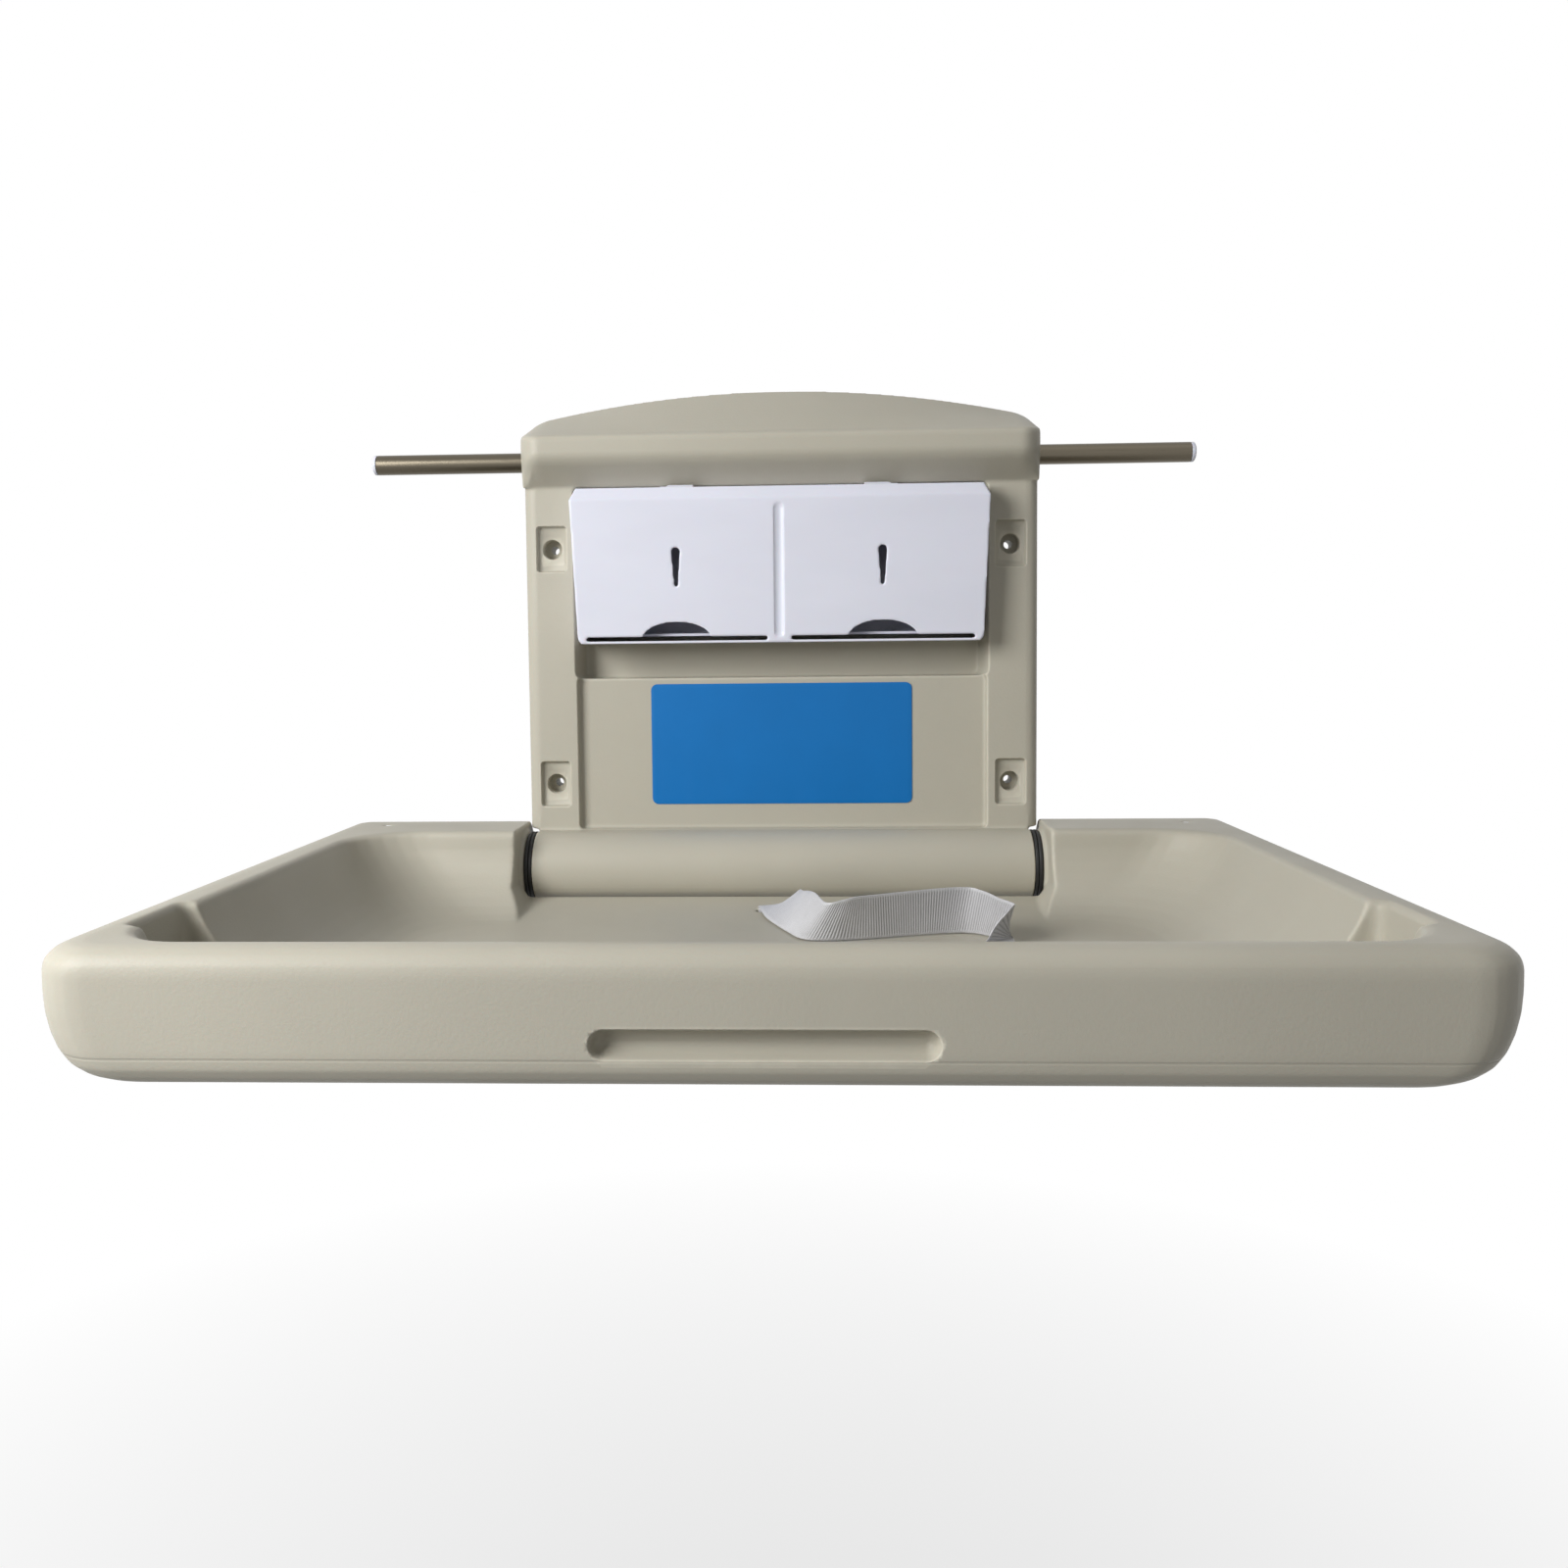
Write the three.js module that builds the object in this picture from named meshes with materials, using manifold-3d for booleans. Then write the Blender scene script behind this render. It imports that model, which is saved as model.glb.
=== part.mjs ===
// A wall-hung, fold-down baby changing station, with its tray open.
// Millimetres, +Z up, +Y into the wall, +X to the right of someone who faces it.
// The origin lies on the wall face, on the centre line, level with the hinge axis.
import * as THREE from "three";
import { mergeVertices } from "three/addons/utils/BufferGeometryUtils.js";
import Module from "manifold-3d";

const wasm = await Module();
wasm.setup();

// Shared walls and clearances
const skin = 4; // wall of the moulded shells
const fitGap = 0.3; // between pieces that touch
const foldGap = 3.5; // between the tray and the hinge barrel
const wallGap = 3; // from the tray's rear face to the wall

// Hinge
const axisOut = 50; // from the wall to the hinge axis
const barrelRadius = 33.5;
const barrelSetIn = 9.5; // the barrel's ends inside the panel's sides
const earGap = 1.9; // between the panel's sides and the tray's ears
const shaftRadius = 10;
const shaftWall = 2.5;
const bushWall = 4;
const bushLength = 12;
const washerRadius = 33;
const washerThickness = 3.2;

// Tray
const trayWidth = 860;
const trayReach = 560; // from the wall to the front face
const rimHeight = 40; // rim above the hinge axis
const trayDrop = 54; // underside below the hinge axis
const rimRound = 15; // outer top edge
const rimSideRound = 24; // how far that edge draws in along the sides
const sideRise = 54; // lower edge along the sides, its height
const sideTuck = 36; // how far it draws in
const frontRound = 18; // lower edge along the front
const crownDrop = 12; // bulge of the underside
const crownRun = 74;
const trayFrontCorner = 38;
const trayRearCorner = 12;
const seamDrop = 24; // moulding line below the hinge axis

// Dish inside the tray
const sideRim = 42;
const frontRim = 27;
const rearRim = 48; // from the hinge axis to the rear rim's front edge
const dishDrop = 32; // floor below the hinge axis
const lipDrop = 24; // floor's rear lip below the hinge axis
const dishSideRun = 88;
const dishSideLean = 0.5; // how much of the side walls' run is even, from the rim on
const dishFrontRun = 70;
const dishRearRun = 68;
const dishFrontCorner = 46;
const dishRearCorner = 60;
const dishEdgeRound = 6;
const channelLength = 120; // sloping floor between the ears
const channelFillet = 14; // where that floor meets the ears
const pocketDepth = 11; // latch pockets beyond the dish's sides
const pocketDraft = 8;
const pocketReach = 100; // along X, into the dish
const pocketLength = 70; // along Y
const latchGap = 2.5;

// Finger grip in the front face
const gripLength = 198;
const gripHeight = 17;
const gripDepth = 12;
const gripDrop = 14.5; // its middle below the hinge axis
const gripDepths = [-1, 0, 0.5, 0.85, 1]; // shares of its depth
const gripInsets = [0, 0, 0.12, 0.42, 0.8]; // how far it has drawn in there, in shares of its half height
const gripRound = 0.98; // rounding of its ends, as a share of its half height

// Back panel
const panelWidth = 488;
const panelFace = 42; // from the wall to the frame's face
const panelCorner = 12;
const panelRearCorner = 0.5;
const frameSide = 47; // width of the frame beside the recesses
const plateThickness = 4;
const recessDraft = 6;
const recessFoot = 179;
const recessHeight = 182;
const recessBack = 12; // from the wall to the recess's back
const labelRecessStep = 2; // each side of the label recess inside the upper one
const labelRecessDepth = 8;
const labelWidth = 250;
const labelHeight = 116;
const labelRise = 23; // above the foot of its recess
const labelThickness = 0.8;
const labelCorner = 6;
const labelRecessCorner = 4;
const recessCorner = 6;

// Header
const noseOut = 72; // from the wall to the nose
const noseRise = 21; // from the recess's top to the nose's foot
const noseHeight = 23;
const archRise = 49; // from the nose's top to the arch's crown
const archDrop = 28; // from the arch's crown to its ends
const headerEndRound = 22;
const headerEndDrop = 10;
const noseRound = 0.3; // the nose's edges, in shares of its height
const noseChin = 0.15; // below its foot
const noseFootBend = 0.1;
const noseFootEnd = 0.35;
const noseTopStart = 0.25;
const noseBrow = 0.08; // above its top

// Wall-screw pockets
const wallScrewInset = 26.5; // from the panel's sides
const wallScrewLow = 78;
const wallScrewRise = 225;
const screwPocketWidth = 28;
const screwPocketHeight = 43;
const screwPocketDepth = 5;
const screwPocketCorner = 3;
const counterboreRadius = 9;
const counterboreDepth = 7;
const wallHoleRadius = 4;

// Latch rod
const rodRadius = 9.25;
const rodWall = 1.2;
const rodEndGap = 1; // inside the tray's side rims
const rodRise = 3; // above the nose's foot
const rodOut = 40;
const rodBlockAt = 140;
const rodBlockWidth = 20;
const capHead = 4;
const capPlug = 12;
const capRim = 0.7; // share of the head below its dome
const capCrown = 0.86; // the dome's flat top, as a share of the rod's radius

// Liner dispenser
const dispenserSideGap = 2; // inside the recess's sides
const dispenserRise = 33; // above the recess's foot
const dispenserTopGap = 2; // below the recess's top
const dispenserShoulderDrop = 13;
const dispenserFace = 68; // from the wall to the face's lower edge
const dispenserLean = 3; // the face's upper edge stands further out
const dispenserChamfer = 7;
const coverWall = 2.5;
const coverTaper = 6; // each side, from the shoulder to the foot and to the top
const paperSlotInner = 11;
const paperSlotOuter = 181;
const paperSlotHeight = 3.5;
const railHeight = 2.5;
const archAt = 96; // middle of a finger arch
const archHalf = 32;
const archHeight = 14;
const sightSlotRise = 53; // above the cover's foot
const sightSlotHeight = 36;
const sightSlotTopRadius = 3.8;
const sightSlotFootRadius = 1.5;
const grooveHalf = 4.3;
const grooveDepth = 1.2;
const clipAt = 92;
const clipWidth = 25;
const clipThickness = 10;
const clipOut = 4; // in front of the frame's face
const dividerWall = 2.5;
const dividerReach = 0.9; // share of the dispenser's depth
const storeFloorReach = 0.75;
const coverTopFall = 1; // the cover's top falls forward
const grooveRound = 3.9;

// Strap
const strapWidth = 40;
const strapThickness = 1.6;
const strapSlotGap = 2.2;
const strapPinRadius = 2.5;
const strapPinLength = 60;

// Screws
const screwHeadWall = 0.5; // upright part of a head's height
const screwHeadFlat = 0.6; // flat part of a head's radius
const smallShank = 2;
const smallHead = 4.5;
const smallHeadHeight = 2.4;
const trayShank = 2.2;
const trayHead = 5;
const trayHeadHeight = 3;
const bossRadius = 8;
const grubRadius = 2.5;
const grubLength = 14;
const shaftScrewInset = 50; // from the tray's sides
const shaftEnd = 12; // shaft beyond its screws
const shaftRibWidth = 30;
const plateScrewLength = 18;
const plateScrewAcross = 120;
const headerScrewAcross = 100;
const dispenserScrewLength = 9;
const dispenserScrewAcross = 150;
const dispenserScrewInset = 34;
const bossInset = 50; // tray screws inside the ends of the flat floor
const bossMiddle = 85;

// Sizes worked out from those above
const trayHalf = trayWidth / 2;
const trayFront = trayReach - axisOut;
const trayRear = axisOut - wallGap;
const edgeFoot = -(trayDrop - crownDrop);
const dishHalf = trayHalf - sideRim;
const dishFront = trayFront - frontRim;
const panelHalf = panelWidth / 2;
const barrelHalf = panelHalf - barrelSetIn;
const earFace = barrelHalf + 2 * washerThickness + 3 * fitGap; // where the ears' round bosses end
const earInner = Math.max(panelHalf + earGap, earFace + fitGap);
const shaftScrewAt = trayHalf - shaftScrewInset;
const shaftHalf = shaftScrewAt + shaftEnd;
const recessWidth = panelWidth - 2 * frameSide;
const recessTop = recessFoot + recessHeight;
const noseFoot = recessTop + noseRise;
const noseTop = noseFoot + noseHeight;
const archTop = noseTop + archRise;
const rodHalf = dishHalf - rodEndGap - capHead;
const rodHeight = noseFoot + rodRise;
const dispenserWidth = recessWidth - 2 * dispenserSideGap;
const dispenserFoot = recessFoot + dispenserRise;
const dispenserTop = recessTop - dispenserTopGap;
const dispenserShoulder = dispenserTop - dispenserShoulderDrop;
const frameFoot = barrelRadius + 2 * fitGap;
const shellRear = -(plateThickness + fitGap);
const notchFront = Math.sqrt((barrelRadius + foldGap) ** 2 - lipDrop ** 2);
const rodReach = Math.hypot(rodHeight, axisOut - rodOut);
const pocketRear = Math.sqrt(rodReach ** 2 - rimHeight ** 2) - rodRadius - latchGap;
const pocketFront = Math.min(pocketRear + pocketLength, dishFront);
const pocketFoot = axisOut - rodOut - rodRadius - latchGap;
const bushRadius = shaftRadius + fitGap + bushWall;
const labelFoot = frameFoot + labelRise;
const sightSlotFoot = dispenserFoot + sightSlotRise;
const sightSlotTop = sightSlotFoot + sightSlotHeight;
const lipClimb = (dishDrop - lipDrop) / (1 - notchFront / channelLength) ** 2;
const wallScrews = [-1, 1].flatMap((side) =>
  [0, 1].map((row) => [side * (panelHalf - wallScrewInset), wallScrewLow + row * wallScrewRise]),
);
const plateScrews = [-1, 1].flatMap((side) => [
  [side * plateScrewAcross, labelFoot + bossRadius * 2],
  [side * plateScrewAcross, recessFoot - bossRadius * 4],
  [side * headerScrewAcross, noseTop + bossRadius],
]);
const dispenserScrews = [-1, 1].flatMap((side) =>
  [dispenserFoot, dispenserTop].map((edge, row) => [
    side * dispenserScrewAcross,
    edge + (row ? -dispenserScrewInset : dispenserScrewInset),
  ]),
);
const bossOuter = dishHalf - dishSideRun - bossInset;
const bossRear = -rearRim - dishRearRun - 2 * bossRadius;
const bossFront = 2 * bossRadius + dishFrontRun - dishFront;
const bossSpots = [-bossOuter, -bossMiddle, bossMiddle, bossOuter].flatMap((x) =>
  [bossRear, bossFront].map((y) => [x, y]),
);

// Solids from three.js geometry

// A closed geometry as a solid that can be joined and cut.
function solid(geometry) {
  const bare = new THREE.BufferGeometry();
  bare.setAttribute("position", geometry.getAttribute("position"));
  bare.setIndex(geometry.index);
  const merged = mergeVertices(bare, 1e-4);
  return new wasm.Manifold(
    new wasm.Mesh({
      numProp: 3,
      vertProperties: new Float32Array(merged.getAttribute("position").array),
      triVerts: new Uint32Array(merged.index.array),
    }),
  );
}

function join(...solids) {
  return solids.flat().reduce((whole, next) => whole.add(next));
}

function cut(whole, ...tools) {
  return tools.flat().reduce((left, tool) => left.subtract(tool), whole);
}

// The triangles that close a flat loop of points, facing the way the loop turns.
function lid(ring) {
  const normal = new THREE.Vector3();
  ring.forEach((point, i) => {
    normal.add(new THREE.Vector3().crossVectors(point, ring[(i + 1) % ring.length]));
  });
  const [, u, v] = ["x", "y", "z"].sort((a, b) => Math.abs(normal[b]) - Math.abs(normal[a]));
  const flat = ring.map((point) => new THREE.Vector2(point[u], point[v]));
  return THREE.ShapeUtils.triangulateShape(flat, []).map(([a, b, c]) => {
    const facing = new THREE.Triangle(ring[a], ring[b], ring[c]).getNormal(new THREE.Vector3());
    return facing.dot(normal) > 0 ? [a, b, c] : [a, c, b];
  });
}

// Loops of equal point counts joined into one closed skin.
function loft(rings) {
  const count = rings[0].length;
  const faces = [];
  for (let r = 0; r + 1 < rings.length; r++) {
    for (let i = 0; i < count; i++) {
      const a = r * count + i;
      const b = r * count + ((i + 1) % count);
      faces.push([a, b, b + count], [a, b + count, a + count]);
    }
  }
  const last = (rings.length - 1) * count;
  lid(rings[0]).forEach(([a, b, c]) => faces.push([a, c, b]));
  lid(rings.at(-1)).forEach((face) => faces.push(face.map((corner) => last + corner)));
  const points = rings.flat();
  const volume = faces.reduce((sum, [a, b, c]) => {
    return sum + points[a].dot(new THREE.Vector3().crossVectors(points[b], points[c]));
  }, 0);
  const outward = volume > 0 ? faces : faces.map(([a, b, c]) => [a, c, b]);
  const geometry = new THREE.BufferGeometry().setFromPoints(points);
  geometry.setIndex(outward.flat());
  return solid(geometry);
}

// A flat loop with rounded corners between yFront and yRear, at height z.
function roundedRing(half, yFront, yRear, frontRadius, rearRadius, z, steps) {
  const corners = [
    [half - frontRadius, yFront + frontRadius, frontRadius, -90],
    [half - rearRadius, yRear - rearRadius, rearRadius, 0],
    [rearRadius - half, yRear - rearRadius, rearRadius, 90],
    [frontRadius - half, yFront + frontRadius, frontRadius, 180],
  ];
  return corners.flatMap(([x, y, radius, start]) =>
    Array.from({ length: steps + 1 }, (_, i) => {
      const angle = THREE.MathUtils.degToRad(start + (90 * i) / steps);
      return new THREE.Vector3(x + radius * Math.cos(angle), y + radius * Math.sin(angle), z);
    }),
  );
}

function roundedRect(left, foot, right, top, radius) {
  const shape = new THREE.Shape();
  shape.moveTo(left + radius, foot);
  shape.absarc(right - radius, foot + radius, radius, -Math.PI / 2, 0);
  shape.absarc(right - radius, top - radius, radius, 0, Math.PI / 2);
  shape.absarc(left + radius, top - radius, radius, Math.PI / 2, Math.PI);
  shape.absarc(left + radius, foot + radius, radius, Math.PI, 1.5 * Math.PI);
  return shape;
}

function polygon(points) {
  return new THREE.Shape(points.map(([u, v]) => new THREE.Vector2(u, v)));
}

// A shape in the YZ plane run along X, in the XZ plane run along Y, or in the XY plane run along Z.
function prism(shape, along, start, end, curveSegments = 6) {
  const depth = end - start;
  const geometry = new THREE.ExtrudeGeometry(shape, { depth, bevelEnabled: false, curveSegments });
  const [x, y, z] = [0, 1, 2].map((axis) => new THREE.Vector3().setComponent(axis, 1));
  geometry.translate(0, 0, along === "y" ? -end : start);
  if (along === "x") geometry.applyMatrix4(new THREE.Matrix4().makeBasis(y, z, x));
  if (along === "y") geometry.applyMatrix4(new THREE.Matrix4().makeBasis(x, z, y.negate()));
  return solid(geometry);
}

function box(x0, x1, y0, y1, z0, z1) {
  const geometry = new THREE.BoxGeometry(x1 - x0, y1 - y0, z1 - z0);
  geometry.translate((x0 + x1) / 2, (y0 + y1) / 2, (z0 + z1) / 2);
  return solid(geometry);
}

// A round bar along X, Y or Z; at gives the two other coordinates of its axis in X, Y, Z order.
function bar(radius, along, start, end, at = [0, 0], segments = 24) {
  const geometry = new THREE.CylinderGeometry(radius, radius, end - start, segments);
  const middle = (start + end) / 2;
  if (along === "x") geometry.rotateZ(-Math.PI / 2).translate(middle, at[0], at[1]);
  if (along === "y") geometry.translate(at[0], middle, at[1]);
  if (along === "z") geometry.rotateX(Math.PI / 2).translate(at[0], at[1], middle);
  return solid(geometry);
}

// A sleeve along X, from start to end.
function sleeve(outer, inner, start, end, at = [0, 0], segments = 24) {
  return cut(bar(outer, "x", start, end, at, segments), bar(inner, "x", start - 1, end + 1, at, segments));
}

// A pan-head screw along Z: its head stands on z = 0 and its shank hangs below.
function screwGeometry(shank, head, headHeight, length) {
  const profile = [
    [0, -length],
    [shank, -length],
    [shank, 0],
    [head, 0],
    [head, headHeight * screwHeadWall],
    [head * screwHeadFlat, headHeight],
    [0, headHeight],
  ];
  const points = profile.map(([r, z]) => new THREE.Vector2(r, z));
  return new THREE.LatheGeometry(points, 8).rotateX(Math.PI / 2);
}

// Tray, in a frame whose origin lies on the hinge axis

// Each level of the tray's outer skin: its height, how far it lies inside the plan outline, and
// lift, the share of a wall's thickness by which the inner skin stands above it.
function trayLevels(seen) {
  const levels = [];
  const topSteps = seen ? 4 : 1;
  for (let i = 0; i <= topSteps; i++) {
    const angle = ((Math.PI / 2) * i) / topSteps;
    const turn = 1 - Math.sin(angle);
    const inset = rimRound * turn;
    const side = rimSideRound * turn;
    const z = rimHeight - rimRound * (1 - Math.cos(angle));
    const corner = trayFrontCorner - inset;
    levels.push({ z, side, front: inset, rear: inset, corner, lift: -Math.cos(angle) });
  }
  const edgeSteps = seen ? 7 : 4;
  for (let i = 0; i <= edgeSteps; i++) {
    const angle = ((Math.PI / 2) * i) / edgeSteps;
    const z = edgeFoot + sideRise * (1 - Math.sin(angle));
    const turn = Math.max(0, (edgeFoot + frontRound - z) / frontRound);
    const side = sideTuck * (1 - Math.cos(angle));
    const front = frontRound * (1 - Math.sqrt(1 - turn * turn));
    levels.push({ z, side, front, rear: 0, corner: trayFrontCorner, lift: Math.sin(angle) });
  }
  const crownSteps = seen ? 4 : 2;
  for (let i = 1; i <= crownSteps; i++) {
    const share = i / crownSteps;
    const z = edgeFoot - (crownDrop * (1 - Math.cos(Math.PI * share))) / 2;
    const run = crownRun * share;
    const corner = trayFrontCorner + run / 2;
    levels.push({ z, side: sideTuck + run, front: frontRound + run, rear: 0, corner, lift: 1 });
  }
  return levels;
}

function trayOuter(inset) {
  return loft(
    trayLevels(inset === 0).map(({ z, side, front, rear, corner, lift }) =>
      roundedRing(
        trayHalf - side - inset,
        front + inset - trayFront,
        trayRear - rear - inset,
        corner - inset,
        trayRearCorner - inset,
        z + lift * inset,
        inset === 0 ? 7 : 3,
      ),
    ),
  );
}

// The hollow of a dish: a rounded rim edge, then walls that sweep down to a flat floor.
function dish(grow) {
  const level = (z, edge, sweep, sideSweep) =>
    roundedRing(
      dishHalf + edge - sideSweep * dishSideRun + grow,
      -dishFront - edge + sweep * dishFrontRun - grow,
      -rearRim + edge - sweep * dishRearRun + grow,
      dishFrontCorner + grow,
      dishRearCorner + grow,
      z - grow,
      grow === 0 ? 7 : 4,
    );
  const rings = [level(rimHeight + sideRim, dishEdgeRound, 0, 0)];
  const edgeSteps = grow === 0 ? 3 : 1;
  for (let i = 0; i < edgeSteps; i++) {
    const angle = ((Math.PI / 2) * i) / edgeSteps;
    const z = rimHeight - dishEdgeRound * (1 - Math.cos(angle));
    rings.push(level(z, dishEdgeRound * (1 - Math.sin(angle)), 0, 0));
  }
  const wallTop = rimHeight - dishEdgeRound;
  const wallSteps = grow === 0 ? 9 : 6;
  for (let i = 0; i <= wallSteps; i++) {
    const angle = ((Math.PI / 2) * i) / wallSteps;
    const sweep = 1 - Math.cos(angle);
    const sideSweep = THREE.MathUtils.lerp(sweep, i / wallSteps, dishSideLean);
    rings.push(level(wallTop - (wallTop + dishDrop) * Math.sin(angle), 0, sweep, sideSweep));
  }
  return loft(rings);
}

// The floor between the ears, which climbs from the dish to its lip in front of the barrel.
function channel(grow) {
  const shape = new THREE.Shape();
  shape.moveTo(-channelLength, -dishDrop - grow);
  shape.quadraticCurveTo(-channelLength / 2, -dishDrop - grow, 0, floorAt(0) - grow);
  shape.lineTo(0, rimHeight + sideRim);
  shape.lineTo(-channelLength, rimHeight + sideRim);
  const run = prism(shape, "x", -earInner - grow, earInner + grow, 8);
  const foot = -dishDrop - grow;
  const fillets = [-1, 1].map((side) => {
    const wall = side * (earInner + grow);
    const corner = polygon([
      [wall, foot],
      [wall - side * channelFillet, foot],
      [wall, floorAt(-notchFront) - grow + channelFillet],
    ]);
    return prism(corner, "y", -channelLength, -notchFront - foldGap);
  });
  return cut(run, fillets);
}

// The gap between the ears in which the barrel lies.
function barrelNotch(grow) {
  const half = earInner + grow;
  return box(-half, half, -notchFront - grow, trayRear + sideRim, -trayDrop - sideRim, rimHeight + sideRim);
}

// A pocket behind a front corner of the dish, which takes one end of the latch rod.
function latchPocket(side, grow) {
  const half = (pocketReach + pocketDepth) / 2;
  const middle = side * (dishHalf + pocketDepth - half);
  const level = (z, edge) =>
    roundedRing(
      half + edge + grow,
      -pocketFront - edge - grow,
      -pocketRear + edge + grow,
      pocketDraft + grow,
      pocketDraft + grow,
      z - grow,
      grow === 0 ? 6 : 3,
    ).map((point) => point.setX(point.x + middle));
  return loft([
    level(rimHeight + sideRim, dishEdgeRound / 2),
    level(rimHeight, dishEdgeRound / 2),
    level(rimHeight - dishEdgeRound / 2, 0),
    level(pocketFoot + pocketDraft / 2, -pocketDraft / 4),
    level(pocketFoot, -pocketDraft),
  ]);
}

// The scooped finger grip in the front face.
function fingerGrip(grow) {
  const rings = gripDepths.map((depth, i) => {
    const inset = (gripInsets[i] * gripHeight) / 2 - grow;
    const half = gripHeight / 2 - inset;
    const round = half * gripRound;
    const ring = roundedRing(gripLength / 2 - inset, -half, half, round, round, 0, grow === 0 ? 5 : 2);
    const y = -trayFront + depth * gripDepth + (depth > 0 ? grow : 0);
    return ring.map((point) => new THREE.Vector3(point.x, y, point.y - gripDrop));
  });
  return loft(rings);
}

// What is cut off the ears' upper rear edge so that they turn clear of the wall.
function earCut(inset) {
  const reach = rimHeight + sideRim;
  const corner = box(-trayWidth, trayWidth, 0, reach, 0, reach);
  const ear = bar(trayRear - inset, "x", -2 * trayWidth, 2 * trayWidth, [0, 0], inset === 0 ? 48 : 24);
  return cut(corner, ear);
}

function trayBody(inset) {
  const body = cut(
    trayOuter(inset),
    dish(inset),
    channel(inset),
    barrelNotch(inset),
    [-1, 1].map((side) => latchPocket(side, inset)),
    fingerGrip(inset),
    earCut(inset),
  );
  return join(body, [-1, 1].map((side) => earBoss(side, inset)));
}

// The round boss on an ear's inner side that bears on the outer washer.
function earBoss(side, inset) {
  const [face, root] = [side * (earFace + inset), side * (earInner + skin + inset)];
  return bar(washerRadius - inset, "x", Math.min(face, root), Math.max(face, root), [0, 0], 28);
}

// The floor's height at y: flat in the dish, climbing to the lip between the ears.
function floorAt(y) {
  const climb = Math.max(0, 1 + y / channelLength);
  return lipClimb * climb * climb - dishDrop;
}

function strapSlot([x, y]) {
  const half = strapWidth / 2 + strapSlotGap;
  const gap = strapThickness / 2 + strapSlotGap;
  return box(x - half, x + half, y - gap, y + gap, -dishDrop - 2 * skin, 0);
}

function trayShell() {
  const ribs = [-1, 1].map((side) => {
    const middle = side * shaftScrewAt;
    const half = shaftRibWidth / 2;
    return box(middle - half, middle + half, -rearRim, trayRear, -trayDrop, rimHeight);
  });
  const bosses = bossSpots.map((spot) => bar(bossRadius, "z", -trayDrop, -dishDrop, spot, 10));
  const hollow = cut(trayBody(skin), ribs, bosses);
  const shaftBores = bar(shaftRadius + fitGap, "x", -shaftHalf - 1, shaftHalf + 1, [0, 0], 24);
  const screwBores = [-1, 1].flatMap((side) => {
    const at = [side * shaftScrewAt, 0];
    const seat = rimHeight - smallHeadHeight - 2 * fitGap;
    return [
      bar(smallShank + fitGap, "z", 0, rimHeight, at, 8),
      bar(smallHead + 2 * fitGap, "z", seat, rimHeight + 1, at, 14),
    ];
  });
  const pilots = bossSpots.map((spot) => {
    return bar(trayShank + fitGap, "z", -trayDrop - 1, -dishDrop - skin - 2 * fitGap, spot, 8);
  });
  const slots = strapEnds.map(strapSlot);
  return cut(trayBody(0), hollow, shaftBores, screwBores, pilots, slots);
}

// The part of the tray that belongs to the basin; grow widens it by a joint gap.
function basinRegion(grow) {
  const above = box(-trayWidth, trayWidth, -trayReach, trayReach, -seamDrop - grow, trayReach);
  const bosses = bossSpots.map((spot) => {
    return bar(bossRadius + grow, "z", -trayDrop + skin + fitGap - grow, -dishDrop, spot, 10);
  });
  const floor = skin + 1 + grow;
  return join(above, dish(floor), channel(floor), bosses);
}

// Ribbon of strap between a lower and an upper edge, each a smooth line through chosen points.
// The strap leaves its rear slot, twists on to its edge, folds over and lies down to its front slot.
// Each point is its place across and out from the hinge axis, and its height above the dish's floor.
const strapEdges = [
  [[-20, -68, -12], [20, -68, -12]],
  [[-20, -68, 2], [20, -68, 2]],
  [[-20, -71.5, 6.5], [20, -73, 10]],
  [[-13, -98, 3], [18, -86, 24]],
  [[-4, -122, 1.6], [21, -104, 27]],
  [[7, -151, 1.6], [29, -148, 32]],
  [[19, -177, 1.6], [39, -189, 34]],
  [[39, -183, 1.6], [53, -195, 37]],
  [[73, -176, 1.6], [72.5, -189, 39.4]],
  [[114, -163, 1.6], [113, -173, 40.2]],
  [[147, -155, 1.6], [153, -161, 40.6]],
  [[162, -157, 1.6], [167, -169, 39.3]],
  [[172, -166, 1.6], [179, -185, 36.7]],
  [[182, -176, 1.6], [188, -197, 33.5]],
  [[185.5, -175.5, 1.6], [186, -200.5, 31.8]],
  [[189, -174.8, 1.6], [182, -203, 27.7]],
  [[191, -174.6, 1.6], [176.7, -205, 23.3]],
  [[191.5, -175.2, 1.6], [171, -206.5, 16.4]],
  [[191.3, -177.5, 1.6], [166.8, -208.5, 9.4]],
  [[191, -184.5, 1.6], [162, -212.5, 5.5]],
  [[190, -199.5, 1.6], [155.5, -218.5, 3.4]],
  [[187.5, -219.5, 1.6], [149, -229, 2.6]],
  [[183, -242.5, 1.6], [143, -245, 2.2]],
  [[176, -266.5, 1.6], [136, -266, 2]],
  [[168, -292, 1.6], [128, -291, 1.9]],
  [[159.5, -318.5, 1.6], [119.5, -318, 1.8]],
  [[153, -338.5, 1.8], [113, -338.5, 1.8]],
  [[150, -348.6, 2.6], [110, -348.6, 2.6]],
  [[150, -350.4, -2], [110, -350.4, -2]],
  [[150, -350.4, -12], [110, -350.4, -12]],
].map((pair) => pair.map(([x, y, rise]) => new THREE.Vector3(x, y, rise - dishDrop)));
const strapEnds = [strapEdges[0], strapEdges.at(-1)].map(([a, b]) => [(a.x + b.x) / 2, (a.y + b.y) / 2]);

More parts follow.
